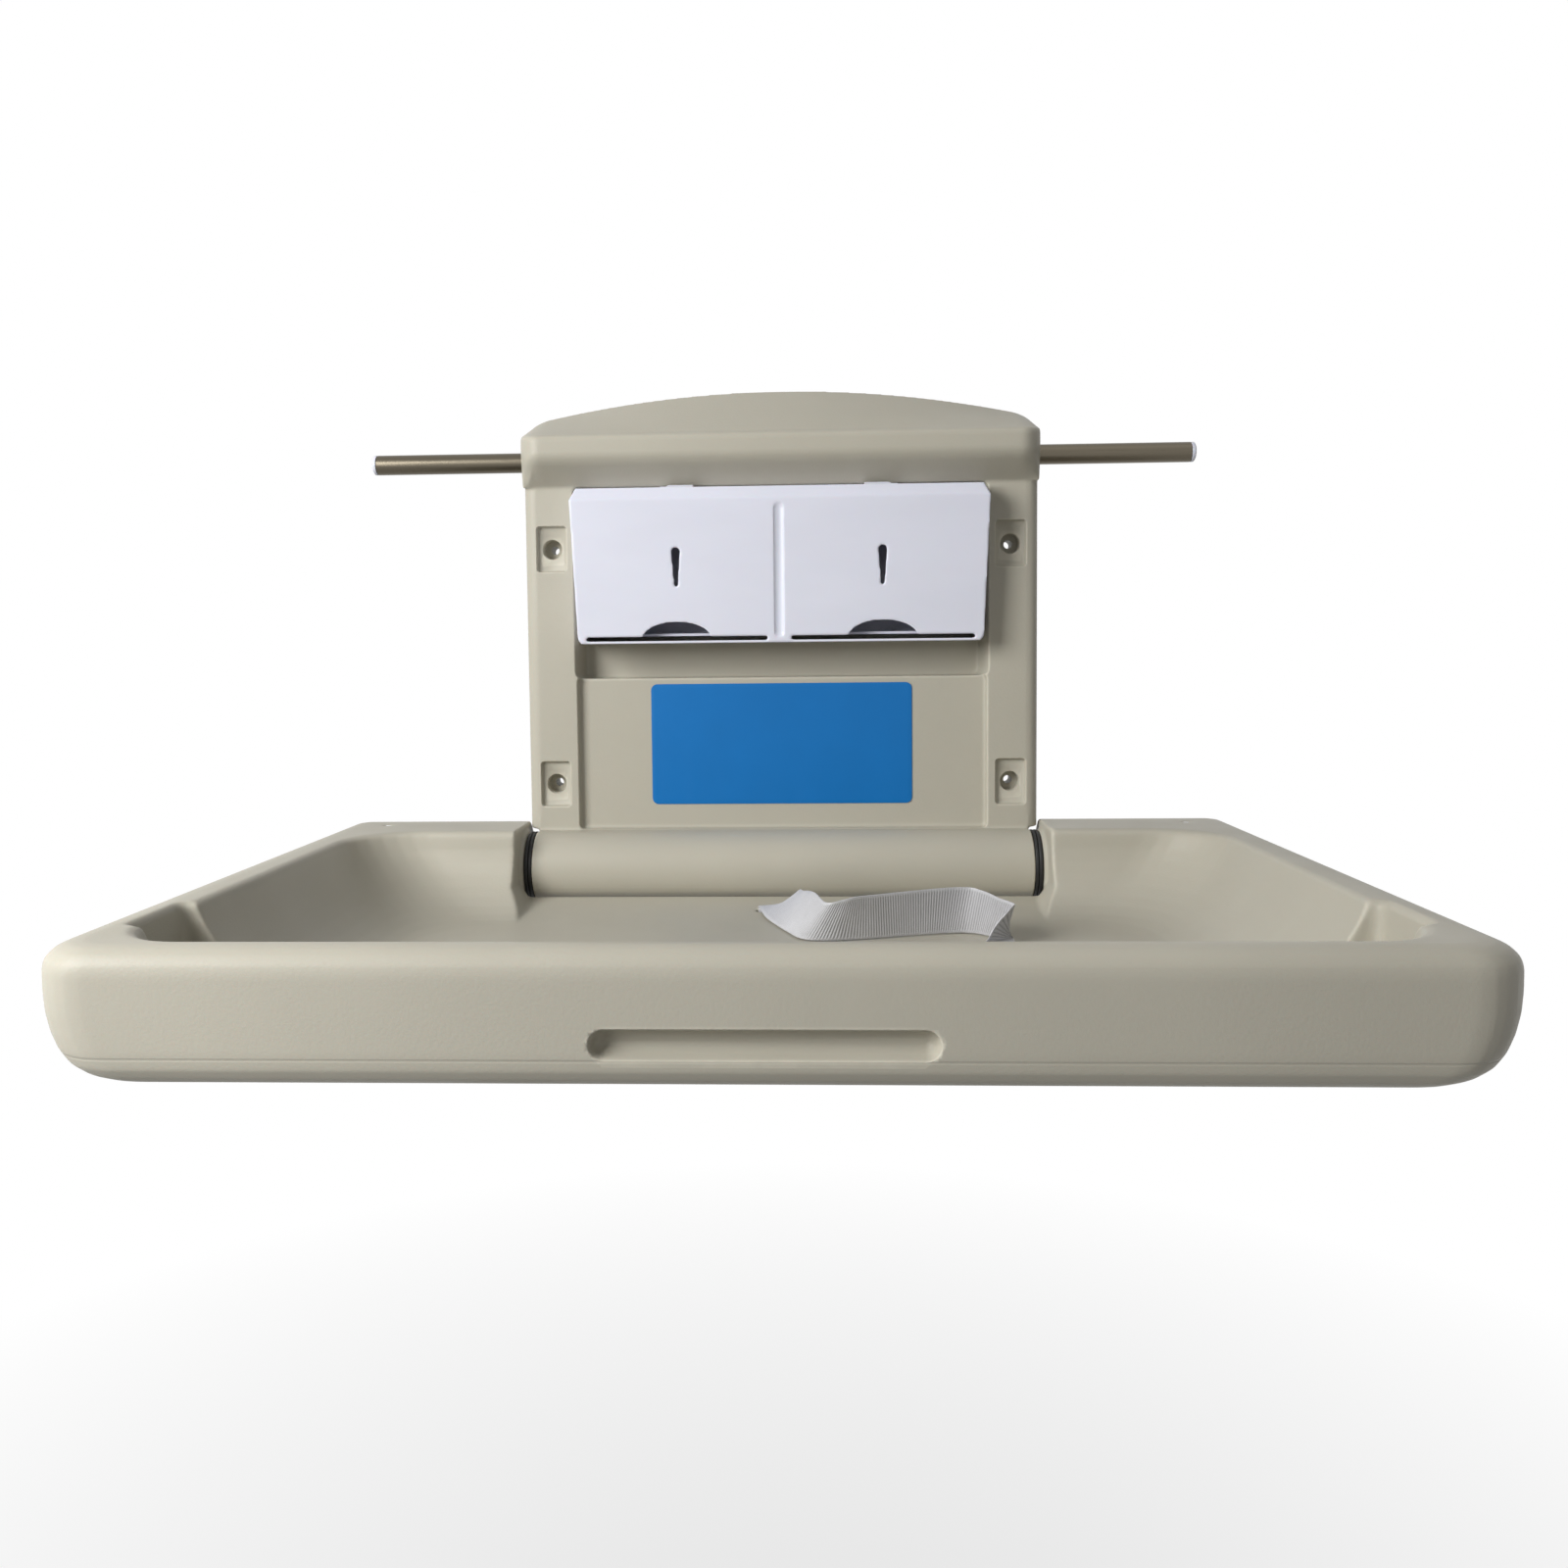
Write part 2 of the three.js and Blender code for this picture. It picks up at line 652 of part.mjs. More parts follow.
function strapRibbon() {
  const [lower, upper] = [0, 1].map((edge) => {
    return new THREE.CatmullRomCurve3(strapEdges.map((pair) => pair[edge]));
  });
  const steps = 3 * (strapEdges.length - 1);
  const rings = Array.from({ length: steps + 1 }, (_, i) => {
    const t = i / steps;
    const a = lower.getPoint(t);
    const b = upper.getPoint(t);
    const along = lower.getTangent(t).add(upper.getTangent(t));
    const across = b.sub(a).setLength(strapWidth);
    const face = across.clone().cross(along).setLength(strapThickness / 2);
    const far = a.clone().add(across);
    return [a.clone().sub(face), far.clone().sub(face), far.clone().add(face), a.clone().add(face)];
  });
  return loft(rings);
}

// A pin under the floor, in front of a strap slot, round which the strap's end is sewn.
function strapPin([x, y]) {
  const ahead = y - strapThickness / 2 - 3 * fitGap - strapPinRadius;
  const z = floorAt(ahead) - skin - 2 * fitGap - strapPinRadius;
  return bar(strapPinRadius, "x", x - strapPinLength / 2, x + strapPinLength / 2, [ahead, z], 12);
}

// Shaft along the hinge axis, drilled for its two retaining screws.
function hingeShaft() {
  const tube = sleeve(shaftRadius, shaftRadius - shaftWall, -shaftHalf, shaftHalf);
  const holes = [-1, 1].map((side) => {
    return bar(smallShank + fitGap, "z", 0, rimHeight, [side * shaftScrewAt, 0], 8);
  });
  return cut(tube, holes);
}

// Back panel, in the wall's frame

// The arch's height at x, a parabola between its crown and its ends.
function archAtX(x, half) {
  return archTop - archDrop * (x / half) ** 2;
}

// The header's side profile at x: foot, underside, rounded nose and the slope to the arch.
function headerProfile(x, inset, rear) {
  const half = panelHalf - inset;
  const turn = Math.max(0, (Math.abs(x) - half + headerEndRound) / headerEndRound);
  const ease = Math.sqrt(Math.max(0, 1 - turn * turn));
  const face = inset - panelFace;
  const nose = face - (noseOut - panelFace) * ease;
  const top = noseTop - inset;
  const foot = noseFoot + inset;
  const rise = top - foot;
  const roundOff = (noseRound * rise * (nose - face)) / (panelFace - noseOut);
  const shape = new THREE.Shape();
  shape.moveTo(rear, recessTop + 2 * skin);
  shape.lineTo(face, recessTop + inset);
  shape.lineTo(nose + roundOff, foot - rise * noseChin);
  shape.quadraticCurveTo(nose, foot + rise * noseFootBend, nose, foot + rise * noseFootEnd);
  shape.lineTo(nose, top - rise * noseTopStart);
  shape.quadraticCurveTo(nose, top, nose + roundOff, top + rise * noseBrow);
  shape.lineTo(rear, archAtX(x, panelHalf) - headerEndDrop * (1 - ease) - inset);
  return shape.getPoints(inset === 0 ? 4 : 2).map((point) => new THREE.Vector3(x, point.x, point.y));
}

function header(inset, rear) {
  const stations = inset === 0 ? 18 : 10;
  return loft(
    Array.from({ length: stations + 1 }, (_, i) => {
      const x = (panelHalf - inset) * Math.sin(Math.PI * (i / stations - 0.5));
      return headerProfile(x, inset, rear);
    }),
  );
}

// Frame, header, barrel and the neck that carries the barrel, as one outer form.
function panelForm(inset, rear) {
  const steps = inset === 0 ? 5 : 2;
  const ring = (z) =>
    roundedRing(
      panelHalf - inset,
      inset - panelFace,
      rear,
      panelCorner - inset / 2,
      panelRearCorner,
      z,
      steps,
    );
  const frame = loft([ring(frameFoot + inset), ring(noseFoot)]);
  const barrelEnd = barrelHalf - (inset > 0 ? bushLength : 0);
  const segments = inset === 0 ? 48 : 20;
  const barrel = bar(barrelRadius - inset, "x", -barrelEnd, barrelEnd, [-axisOut, 0], segments);
  const neckHalf = barrelHalf - inset;
  const neckTop = frameFoot + 3 * skin;
  const neck = box(-neckHalf, neckHalf, inset - panelFace, rear, inset - barrelRadius, neckTop);
  return join(frame, header(inset, rear), barrel, neck);
}

// The recesses in the panel's face; grow widens them by a wall.
function panelRecesses(grow) {
  const open = -panelFace - 1;
  const half = recessWidth / 2 + grow;
  const foot = recessFoot - grow;
  const top = recessTop + grow;
  const dispenserRing = (y, draft) => {
    const ring = roundedRing(half - draft, foot, top, recessCorner, recessCorner, 0, 3);
    return ring.map((point) => new THREE.Vector3(point.x, y, point.y));
  };
  const dispenser = loft([dispenserRing(open, 0), dispenserRing(grow - recessBack, recessDraft)]);
  const labelHalf = recessWidth / 2 - labelRecessStep + grow;
  const labelTop = recessFoot + grow + 1;
  const labelShape = roundedRect(-labelHalf, frameFoot - grow, labelHalf, labelTop, labelRecessCorner);
  const label = prism(labelShape, "y", open, labelRecessDepth - panelFace + grow, 3);
  const pockets = wallScrews.map(([x, z]) => {
    const width = screwPocketWidth / 2 + grow;
    const height = screwPocketHeight / 2 + grow;
    const shape = roundedRect(x - width, z - height, x + width, z + height, screwPocketCorner);
    return prism(shape, "y", open, screwPocketDepth - panelFace + grow, 3);
  });
  return [dispenser, label, pockets].flat();
}

// A clearance hole for a small screw through the panel.
function screwHole([x, z]) {
  return bar(smallShank + fitGap, "y", -panelFace, 0, [x, z], 8);
}

function panelShell() {
  const columns = wallScrews.map(([x, z]) => {
    return bar(counterboreRadius + skin, "y", -panelFace, shellRear, [x, z], 12);
  });
  const bosses = plateScrews.map(([x, z]) => bar(bossRadius, "y", -noseOut, shellRear, [x, z], 8));
  const rodBlocks = [-1, 1].map((side) => {
    const middle = side * rodBlockAt;
    const half = rodBlockWidth / 2;
    return box(middle - half, middle + half, -noseOut, shellRear, recessTop + skin, archTop);
  });
  const hollow = cut(panelForm(skin, 1), panelRecesses(skin), columns, bosses, rodBlocks);
  const wallHoles = wallScrews.flatMap(([x, z]) => {
    const floor = screwPocketDepth - panelFace;
    return [
      bar(wallHoleRadius, "y", -panelFace, 0, [x, z], 14),
      bar(counterboreRadius, "y", -panelFace, floor + counterboreDepth, [x, z], 16),
    ];
  });
  const bushBores = bar(bushRadius + fitGap, "x", -barrelHalf - 1, barrelHalf + 1, [-axisOut, 0], 24);
  const rodBore = bar(rodRadius + fitGap, "x", -panelHalf - 1, panelHalf + 1, [-rodOut, rodHeight], 24);
  const grubBores = [-1, 1].map((side) => {
    return bar(grubRadius + fitGap, "y", -rodOut, 0, [side * rodBlockAt, rodHeight], 8);
  });
  const pilots = plateScrews.map(([x, z]) => {
    return bar(smallShank + fitGap, "y", -plateScrewLength - 2 * fitGap, 0, [x, z], 8);
  });
  const dispenserHoles = dispenserScrews.map(screwHole);
  const body = cut(panelForm(0, shellRear), panelRecesses(0), hollow);
  return cut(body, wallHoles, bushBores, rodBore, grubBores, pilots, dispenserHoles);
}

function panelBackPlate() {
  const half = panelHalf - fitGap * 4;
  const endTop = archAtX(half, panelHalf) - headerEndDrop - skin;
  const shape = new THREE.Shape();
  shape.moveTo(-barrelHalf + fitGap, fitGap - barrelRadius);
  shape.lineTo(barrelHalf - fitGap, fitGap - barrelRadius);
  shape.lineTo(barrelHalf - fitGap, frameFoot + skin);
  shape.lineTo(half, frameFoot + 2 * skin);
  shape.lineTo(half, endTop);
  shape.quadraticCurveTo(0, 2 * (archTop - skin) - endTop, -half, endTop);
  shape.lineTo(-half, frameFoot + 2 * skin);
  shape.lineTo(fitGap - barrelHalf, frameFoot + skin);
  const holes = wallScrews.map(([x, z]) => bar(wallHoleRadius, "y", -2 * plateThickness, 1, [x, z], 14));
  const seats = plateScrews.flatMap(([x, z]) => [
    bar(smallShank + fitGap, "y", -2 * plateThickness, 1, [x, z], 8),
    bar(smallHead + fitGap, "y", -smallHeadHeight - 2 * fitGap, 1, [x, z], 12),
  ]);
  return cut(prism(shape, "y", -plateThickness, 0, 12), holes, seats);
}

// Plug with a head the width of the rod, pointing along +X, its head's seat at x = 0.
function rodCap() {
  const plug = bar(rodRadius - rodWall - fitGap, "x", -capPlug, 0.5, [0, 0], 24);
  const rim = bar(rodRadius, "x", fitGap, capHead * capRim, [0, 0], 24);
  const dome = new THREE.CylinderGeometry(rodRadius * capCrown, rodRadius, capHead * (1 - capRim), 24);
  dome.rotateZ(-Math.PI / 2).translate((capHead * (1 + capRim)) / 2, 0, 0);
  return join(plug, rim, solid(dome));
}

// Liner dispenser, in the wall's frame

// Side outline of the dispenser's cover, inset by a wall; open leaves the back and foot clear.
function coverOutline(inset, open) {
  const back = -recessBack - fitGap + (open ? coverWall : 0);
  const foot = dispenserFoot - (open ? dispenserChamfer : 0);
  return polygon([
    [back, foot],
    [inset - dispenserFace, foot],
    [inset - dispenserFace - dispenserLean, dispenserShoulder],
    [inset - dispenserFace - dispenserLean + dispenserChamfer, dispenserTop - coverTopFall - inset],
    [back, dispenserTop - inset],
  ]);
}

// The cover's plan: full width in front of the frame, drawn in with the recess behind it.
function coverPlan(inset) {
  const half = dispenserWidth / 2 - inset;
  const plan = polygon([
    [-half, -2 * noseOut],
    [half, -2 * noseOut],
    [half, -panelFace],
    [half - recessDraft, -recessBack],
    [half - recessDraft, 0],
    [recessDraft - half, 0],
    [recessDraft - half, -recessBack],
    [-half, -panelFace],
  ]);
  return prism(plan, "z", 0, archTop);
}

// The cover seen from the front: widest at its shoulder, drawn in to its top and to its rounded foot.
function coverFace(inset) {
  const foot = dispenserFoot - (inset > 0 ? dispenserChamfer : 0);
  const half = dispenserWidth / 2 - inset;
  const slope = coverTaper / (dispenserShoulder - dispenserFoot);
  const halfAt = (z) => half - slope * (dispenserShoulder - z);
  const round = foot + dispenserChamfer;
  const shape = new THREE.Shape();
  shape.moveTo(dispenserChamfer - halfAt(foot), foot);
  shape.lineTo(halfAt(foot) - dispenserChamfer, foot);
  shape.quadraticCurveTo(halfAt(foot), foot, halfAt(round), round);
  shape.lineTo(half, dispenserShoulder);
  shape.lineTo(half - coverTaper, dispenserTop);
  shape.lineTo(coverTaper - half, dispenserTop);
  shape.lineTo(-half, dispenserShoulder);
  shape.lineTo(-halfAt(round), round);
  shape.quadraticCurveTo(-halfAt(foot), foot, dispenserChamfer - halfAt(foot), foot);
  return prism(shape, "y", -2 * noseOut, 0);
}

// A keyhole-like sight slot: wide and round at its top, narrow at its foot.
function sightSlot(x) {
  const shape = new THREE.Shape();
  shape.absarc(x, sightSlotTop - sightSlotTopRadius, sightSlotTopRadius, 0, Math.PI);
  shape.absarc(x, sightSlotFoot + sightSlotFootRadius, sightSlotFootRadius, Math.PI, 2 * Math.PI);
  return shape;
}

function paperSlot(side) {
  const foot = dispenserFoot + railHeight;
  const slot = box(
    side > 0 ? paperSlotInner : -paperSlotOuter,
    side > 0 ? paperSlotOuter : -paperSlotInner,
    -noseOut - dispenserChamfer,
    -dispenserFace / 2,
    foot,
    foot + paperSlotHeight,
  );
  const arch = new THREE.Shape();
  const springing = foot + paperSlotHeight / 2;
  arch.absellipse(side * archAt, springing, archHalf, archHeight + paperSlotHeight / 2, 0, Math.PI);
  return join(slot, prism(arch, "y", -noseOut - dispenserChamfer, -dispenserFace / 2, 12));
}

function dispenserCover() {
  const half = dispenserWidth / 2;
  const [form, hollow] = [0, coverWall].map((inset) => {
    const run = prism(coverOutline(inset, inset > 0), "x", -half, half);
    return run.intersect(coverFace(inset)).intersect(coverPlan(inset));
  });
  const slots = [-1, 1].flatMap((side) => [
    paperSlot(side),
    prism(sightSlot(side * archAt), "y", -noseOut - dispenserChamfer, -dispenserFace / 2),
  ]);
  const grooveShape = roundedRect(
    -grooveHalf,
    dispenserFoot + 2 * railHeight,
    grooveHalf,
    dispenserShoulder - 2 * railHeight,
    grooveRound,
  );
  const grooveFloor = prism(coverOutline(grooveDepth, false), "x", -grooveHalf - 1, grooveHalf + 1);
  const groove = cut(prism(grooveShape, "y", -2 * noseOut, -dispenserFace / 2), grooveFloor);
  const clips = [-1, 1].map((side) => {
    const left = side * clipAt - clipWidth / 2;
    const front = -panelFace - clipOut - clipThickness;
    const foot = dispenserTop - coverWall;
    return box(left, left + clipWidth, front, front + clipThickness, foot, recessTop - 2 * fitGap);
  });
  return join(cut(form, hollow, slots, groove), clips);
}

function dispenserBack() {
  const half = dispenserWidth / 2 - Math.max(recessDraft, coverTaper) - coverWall - fitGap;
  const rear = -recessBack - fitGap;
  const foot = dispenserFoot + railHeight + paperSlotHeight + 1;
  const top = dispenserTop - 2 * coverWall - fitGap;
  const plate = box(-half, half, rear - coverWall, rear, foot, top);
  const floor = box(-half, half, -dispenserFace * storeFloorReach, rear, foot, foot + coverWall);
  const divider = box(-dividerWall / 2, dividerWall / 2, -dispenserFace * dividerReach, rear, foot, top);
  return cut(join(plate, floor, divider), dispenserScrews.map(screwHole));
}

function labelPlate() {
  const half = labelWidth / 2;
  const back = labelRecessDepth - panelFace - fitGap;
  const shape = roundedRect(-half, labelFoot, half, labelFoot + labelHeight, labelCorner);
  return prism(shape, "y", back - labelThickness, back);
}

// Scene graph: what hangs on the wall, and the tray in a group on the hinge axis

const station = new THREE.Group();
const wallSide = new THREE.Group();
const traySide = new THREE.Group();
traySide.position.y = -axisOut;
station.add(wallSide, traySide);

const finishes = {
  shell: { color: 0xb8b2a0, roughness: 0.5, metalness: 0 },
  plate: { color: 0xa8a290, roughness: 0.6, metalness: 0 },
  white: { color: 0xd9d7e0, roughness: 0.35, metalness: 0 },
  steel: { color: 0xa8a49c, roughness: 0.3, metalness: 1 },
  zinc: { color: 0x9a9a98, roughness: 0.4, metalness: 1 },
  black: { color: 0x141414, roughness: 0.6, metalness: 0 },
  nylon: { color: 0xe8e4d8, roughness: 0.5, metalness: 0 },
  label: { color: 0x1976be, roughness: 0.35, metalness: 0 },
  webbing: { color: 0xb4b4b8, roughness: 0.8, metalness: 0 },
};

function place(group, name, shape, finish, position = [0, 0, 0], rotation = [0, 0, 0]) {
  let geometry = shape;
  if (!shape.isBufferGeometry) {
    const { vertProperties, triVerts } = shape.getMesh();
    geometry = new THREE.BufferGeometry();
    geometry.setAttribute("position", new THREE.BufferAttribute(new Float32Array(vertProperties), 3));
    geometry.setIndex(new THREE.BufferAttribute(new Uint32Array(triVerts), 1));
    geometry.computeVertexNormals();
  }
  const mesh = new THREE.Mesh(geometry, new THREE.MeshStandardMaterial(finishes[finish]));
  mesh.name = name;
  mesh.position.set(...position);
  mesh.rotation.set(...rotation);
  group.add(mesh);
}

const sides = [["left", -1], ["right", 1]];
const quarter = Math.PI / 2;

place(wallSide, "panel_shell", panelShell(), "shell");
place(wallSide, "panel_back_plate", panelBackPlate(), "plate");
plateScrews.forEach(([x, z], i) => {
  const shankLength = plateScrewLength - smallHeadHeight;
  const geometry = screwGeometry(smallShank, smallHead, smallHeadHeight, shankLength);
  const seat = -smallHeadHeight - fitGap;
  place(wallSide, `back_plate_screw_${i + 1}`, geometry, "zinc", [x, seat, z], [-quarter, 0, 0]);
});

const rod = sleeve(rodRadius, rodRadius - rodWall, -rodHalf, rodHalf);
place(wallSide, "latch_rod", rod, "steel", [0, -rodOut, rodHeight]);
sides.forEach(([name, side]) => {
  const turn = side > 0 ? 0 : Math.PI;
  place(wallSide, `rod_cap_${name}`, rodCap(), "white", [side * rodHalf, -rodOut, rodHeight], [0, 0, turn]);
  const grub = bar(grubRadius, "y", 0, grubLength, [0, 0], 8);
  const tip = rodRadius + fitGap - rodOut;
  place(wallSide, `rod_grub_screw_${name}`, grub, "zinc", [side * rodBlockAt, tip, rodHeight]);
});

place(wallSide, "dispenser_cover", dispenserCover(), "white");
place(wallSide, "dispenser_back", dispenserBack(), "white");
dispenserScrews.forEach(([x, z], i) => {
  const geometry = screwGeometry(smallShank, smallHead, smallHeadHeight, dispenserScrewLength);
  const seat = -recessBack - coverWall - 2 * fitGap;
  place(wallSide, `dispenser_screw_${i + 1}`, geometry, "zinc", [x, seat, z], [quarter, 0, 0]);
});
place(wallSide, "label_plate", labelPlate(), "label");

sides.forEach(([name, side]) => {
  const bush = sleeve(bushRadius, shaftRadius + fitGap, -bushLength / 2, bushLength / 2);
  const washerHalf = washerThickness / 2;
  const washer = sleeve(washerRadius, shaftRadius + fitGap, -washerHalf, washerHalf, [0, 0], 28);
  const innerWasherAt = side * (barrelHalf + fitGap + washerHalf);
  const outerWasherAt = side * (earFace - fitGap - washerHalf);
  place(wallSide, `hinge_bush_${name}`, bush, "nylon", [side * (barrelHalf - bushLength / 2), -axisOut, 0]);
  place(wallSide, `inner_washer_${name}`, washer, "black", [innerWasherAt, -axisOut, 0]);
  place(traySide, `outer_washer_${name}`, washer, "black", [outerWasherAt, 0, 0]);
});

const shell = trayShell();
place(traySide, "tray_basin", shell.intersect(basinRegion(0)), "shell");
place(traySide, "tray_underside", cut(shell, basinRegion(fitGap)), "shell");
bossSpots.forEach(([x, y], i) => {
  const geometry = screwGeometry(trayShank, trayHead, trayHeadHeight, trayDrop - dishDrop - 2 * skin);
  place(traySide, `tray_screw_${i + 1}`, geometry, "zinc", [x, y, -trayDrop - fitGap], [Math.PI, 0, 0]);
});
place(traySide, "hinge_shaft", hingeShaft(), "zinc");
sides.forEach(([name, side]) => {
  const seat = rimHeight - smallHeadHeight - fitGap;
  const geometry = screwGeometry(smallShank, smallHead, smallHeadHeight, seat);
  place(traySide, `shaft_screw_${name}`, geometry, "zinc", [side * shaftScrewAt, 0, seat]);
});
place(traySide, "safety_strap", strapRibbon(), "webbing");
place(traySide, "strap_pin_rear", strapPin(strapEnds[0]), "zinc");
place(traySide, "strap_pin_front", strapPin(strapEnds[1]), "zinc");

export default station;
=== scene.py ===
"""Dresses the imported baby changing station: moulded shells, dispenser, latch rod, strap, hinge and stage.

Every length is in metres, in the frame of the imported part: +X to the right of someone who faces the
station, +Y into the wall, +Z up, with the origin on the wall face, level with the hinge axis.
"""

import math

import bmesh
import bpy
import numpy as np
from bpy.props import FloatProperty, FloatVectorProperty, IntProperty, PointerProperty
from mathutils import Matrix, Vector


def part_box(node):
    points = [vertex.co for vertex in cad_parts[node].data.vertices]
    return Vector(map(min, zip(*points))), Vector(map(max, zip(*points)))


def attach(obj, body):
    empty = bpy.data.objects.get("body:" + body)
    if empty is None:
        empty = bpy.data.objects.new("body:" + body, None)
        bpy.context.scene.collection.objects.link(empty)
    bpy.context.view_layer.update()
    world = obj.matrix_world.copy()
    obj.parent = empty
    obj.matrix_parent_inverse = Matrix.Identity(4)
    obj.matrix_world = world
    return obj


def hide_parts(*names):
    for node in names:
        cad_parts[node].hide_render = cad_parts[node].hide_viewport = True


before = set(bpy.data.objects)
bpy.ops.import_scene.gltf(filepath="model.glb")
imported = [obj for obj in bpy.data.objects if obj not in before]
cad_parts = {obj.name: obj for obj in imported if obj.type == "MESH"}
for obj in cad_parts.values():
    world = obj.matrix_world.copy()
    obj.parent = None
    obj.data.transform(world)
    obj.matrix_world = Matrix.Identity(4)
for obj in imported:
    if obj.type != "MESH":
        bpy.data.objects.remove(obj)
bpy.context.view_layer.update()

bl_info = {
    "name": "Baby changing station",
    "version": (1, 0, 0),
    "blender": (4, 5, 0),
    "location": "View3D > Sidebar > Station",
    "description": "Builds the finished surfaces of a fold-down baby changing station",
    "category": "Object",
}

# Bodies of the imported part
WALL_BODY = "wall_panel"
TRAY_BODY = "tray"

SIDES = (-1, 1)
CUT_PAST = 0.002  # how far a cutter reaches past a surface
WELD = 1e-6  # joins the corners that neighbouring faces share

# Shading breaks at edges sharper than these, in degrees.
SKIN_ANGLE = 50
EDGE_ANGLE = 35
SCREW_ANGLE = 40
WEBBING_ANGLE = 60

# Hinge, as packed
AXIS_OUT = 0.050  # hinge axis in front of the wall
BARREL_HALF = 0.2345
SHAFT_RADIUS = 0.010
SHAFT_ROOM = 0.0008  # round the shaft in the barrel
BUSH_RADIUS = 0.0143
BUSH_LENGTH = 0.012

# Tray, as packed
FLOOR_RISE = -0.032  # the dish's floor
SEAM_RISE = -0.024  # moulding line round the tray
SEAM_CLEAR = (0.010, 0.008)  # it shows this far outside the dish's sides and front
DISH_HALF = 0.388
DISH_FRONT = -0.533
TRAY_FRONT = -0.560
GRIP_RISE = -0.0145  # middle of the finger grip
GRIP_HALF = (0.099, 0.0085)
GRIP_CORNER = 0.98 * GRIP_HALF[1]
STRAP_SLOTS = ((0.0, -0.118), (0.130, -0.4004))
STRAP_SLOT_SIZE = (0.0444, 0.006, 0.046)
STRAP_SLOT_RISE = -0.023

# Panel, as packed, and the finer header over it
PANEL_HALF = 0.244
PANEL_FACE = -0.042
PANEL_REAR = -0.006  # just inside the shell's rear edge
NOSE = -0.072
NOSE_FOOT = 0.382
NOSE_TOP = 0.405
ARCH_TOP = 0.454
ARCH_DROP = 0.028  # from the arch's crown to its ends
HEADER_END = (0.022, 0.010)  # how far the header's ends are rounded inwards and down
HEADER_PROUD = 0.0006  # the header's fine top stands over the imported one's facets
HEADER_SLICES = 160
# The nose's two roundings in shares of its height: how far back they reach, then where each bend starts,
# is pulled to and ends, above the nose's foot for the lower one and above its top for the upper one.
NOSE_BACK = 0.3
CHIN_BEND = (-0.15, 0.1, 0.35)
BROW_BEND = (-0.25, 0.0, 0.08)
RECESS_TOP = 0.361
CEILING_LIFT = 0.008  # keeps the fine header clear of the recess's ceiling
ROD_RISE = 0.385
ROD_OUT = 0.040
WALL_SCREWS = [(side * 0.2175, rise) for side in SIDES for rise in (0.078, 0.303)]
POCKET_HALF = (0.014, 0.0215)
POCKET_CORNER = 0.003
WALL_HOLE_START = 0.004  # behind the panel's face
PLATE_SHIFT = (0, -0.0044, 0)  # brings the back plate up against the shell, to close it
PLATE_EDGE = 0.0006

# Dispenser cover, as packed
COVER_FOOT = 0.212
COVER_SHOULDER = 0.346
COVER_FACE = -0.068  # at its foot
COVER_LEAN = -0.003  # from its foot to its shoulder
COVER_REAR = -0.012
FOOT_PLATE_SIZE = (0.372, 0.0018)  # width and thickness
FOOT_PLATE_RISE = 0.0011  # its middle above the cover's foot
# What is cut from its top beside and between the clips: middle and width of each cut along X, then the
# middle and the size of all of them along Y and Z
TOP_CUTS = ((-0.155, 0.09), (0, 0.16), (0.155, 0.09))
TOP_CUT_PLACE = (-0.037, 0.362)
TOP_CUT_SIZE = (0.060, 0.0096)
GROOVE_END = 0.006  # from the ends of the cover's face
GROOVE_FOOT = 0.45  # width of the groove's floor against its mouth
GROOVE_ROUND = 0.98  # roundness of the groove's ends, 1 being a half circle
DISPENSER_EDGE = 0.0004

# Plugs that shut the shells' hollows, so that a skin runs round the outside only: the middle and the size
# of each. In the tray: shaft bores, holes of the shaft's screws, strap slots and finger grip.
TRAY_PLUGS = (
    *(((side * 0.2445, -AXIS_OUT, 0), (0.003, 0.032, 0.032)) for side in SIDES),
    *(((side * 0.380, -AXIS_OUT, 0.0338), (0.016, 0.016, 0.0075)) for side in SIDES),
    ((0, -0.118, -0.0368), (0.060, 0.020, 0.0066)),
    ((0.130, -0.400, -0.0402), (0.060, 0.020, 0.0074)),
    ((0, TRAY_FRONT + 0.0064, GRIP_RISE), (0.206, 0.0128, 0.0185)),
)
# In the panel: rod holes, bush seats, holes of the dispenser's screws and wall-screw pockets.
PANEL_PLUGS = (
    *(((side * 0.238, -ROD_OUT, ROD_RISE), (0.004, 0.024, 0.024)) for side in SIDES),
    *(((side * (BARREL_HALF - 0.005), -AXIS_OUT, 0), (0.006, 0.036, 0.036)) for side in SIDES),
    *(((side * 0.150, -0.0095, rise), (0.008, 0.003, 0.008)) for side in SIDES for rise in (0.246, 0.325)),
    *(((x, PANEL_FACE + 0.0195, z), (0.031, 0.039, 0.046)) for x, z in WALL_SCREWS),
)

# The finger grip's hollow: depth behind the front face, and how far it has drawn in there.
GRIP_STEPS = (
    (-0.004, -0.0012),
    (-0.0002, -0.0012),
    (0.0004, -0.0006),
    (0.0014, 0.0),
    (0.0060, 0.0008),
    (0.0090, 0.0024),
    (0.0110, 0.0045),
    (0.0120, 0.0068),
)
# A wall-screw pocket: depth behind the panel's face, and how far it has drawn in there.
POCKET_STEPS = (
    (-0.003, -0.0010),
    (-0.0002, -0.0010),
    (0.0003, -0.0005),
    (0.0010, 0.0),
    (0.0044, 0.0004),
    (0.0050, 0.0010),
)
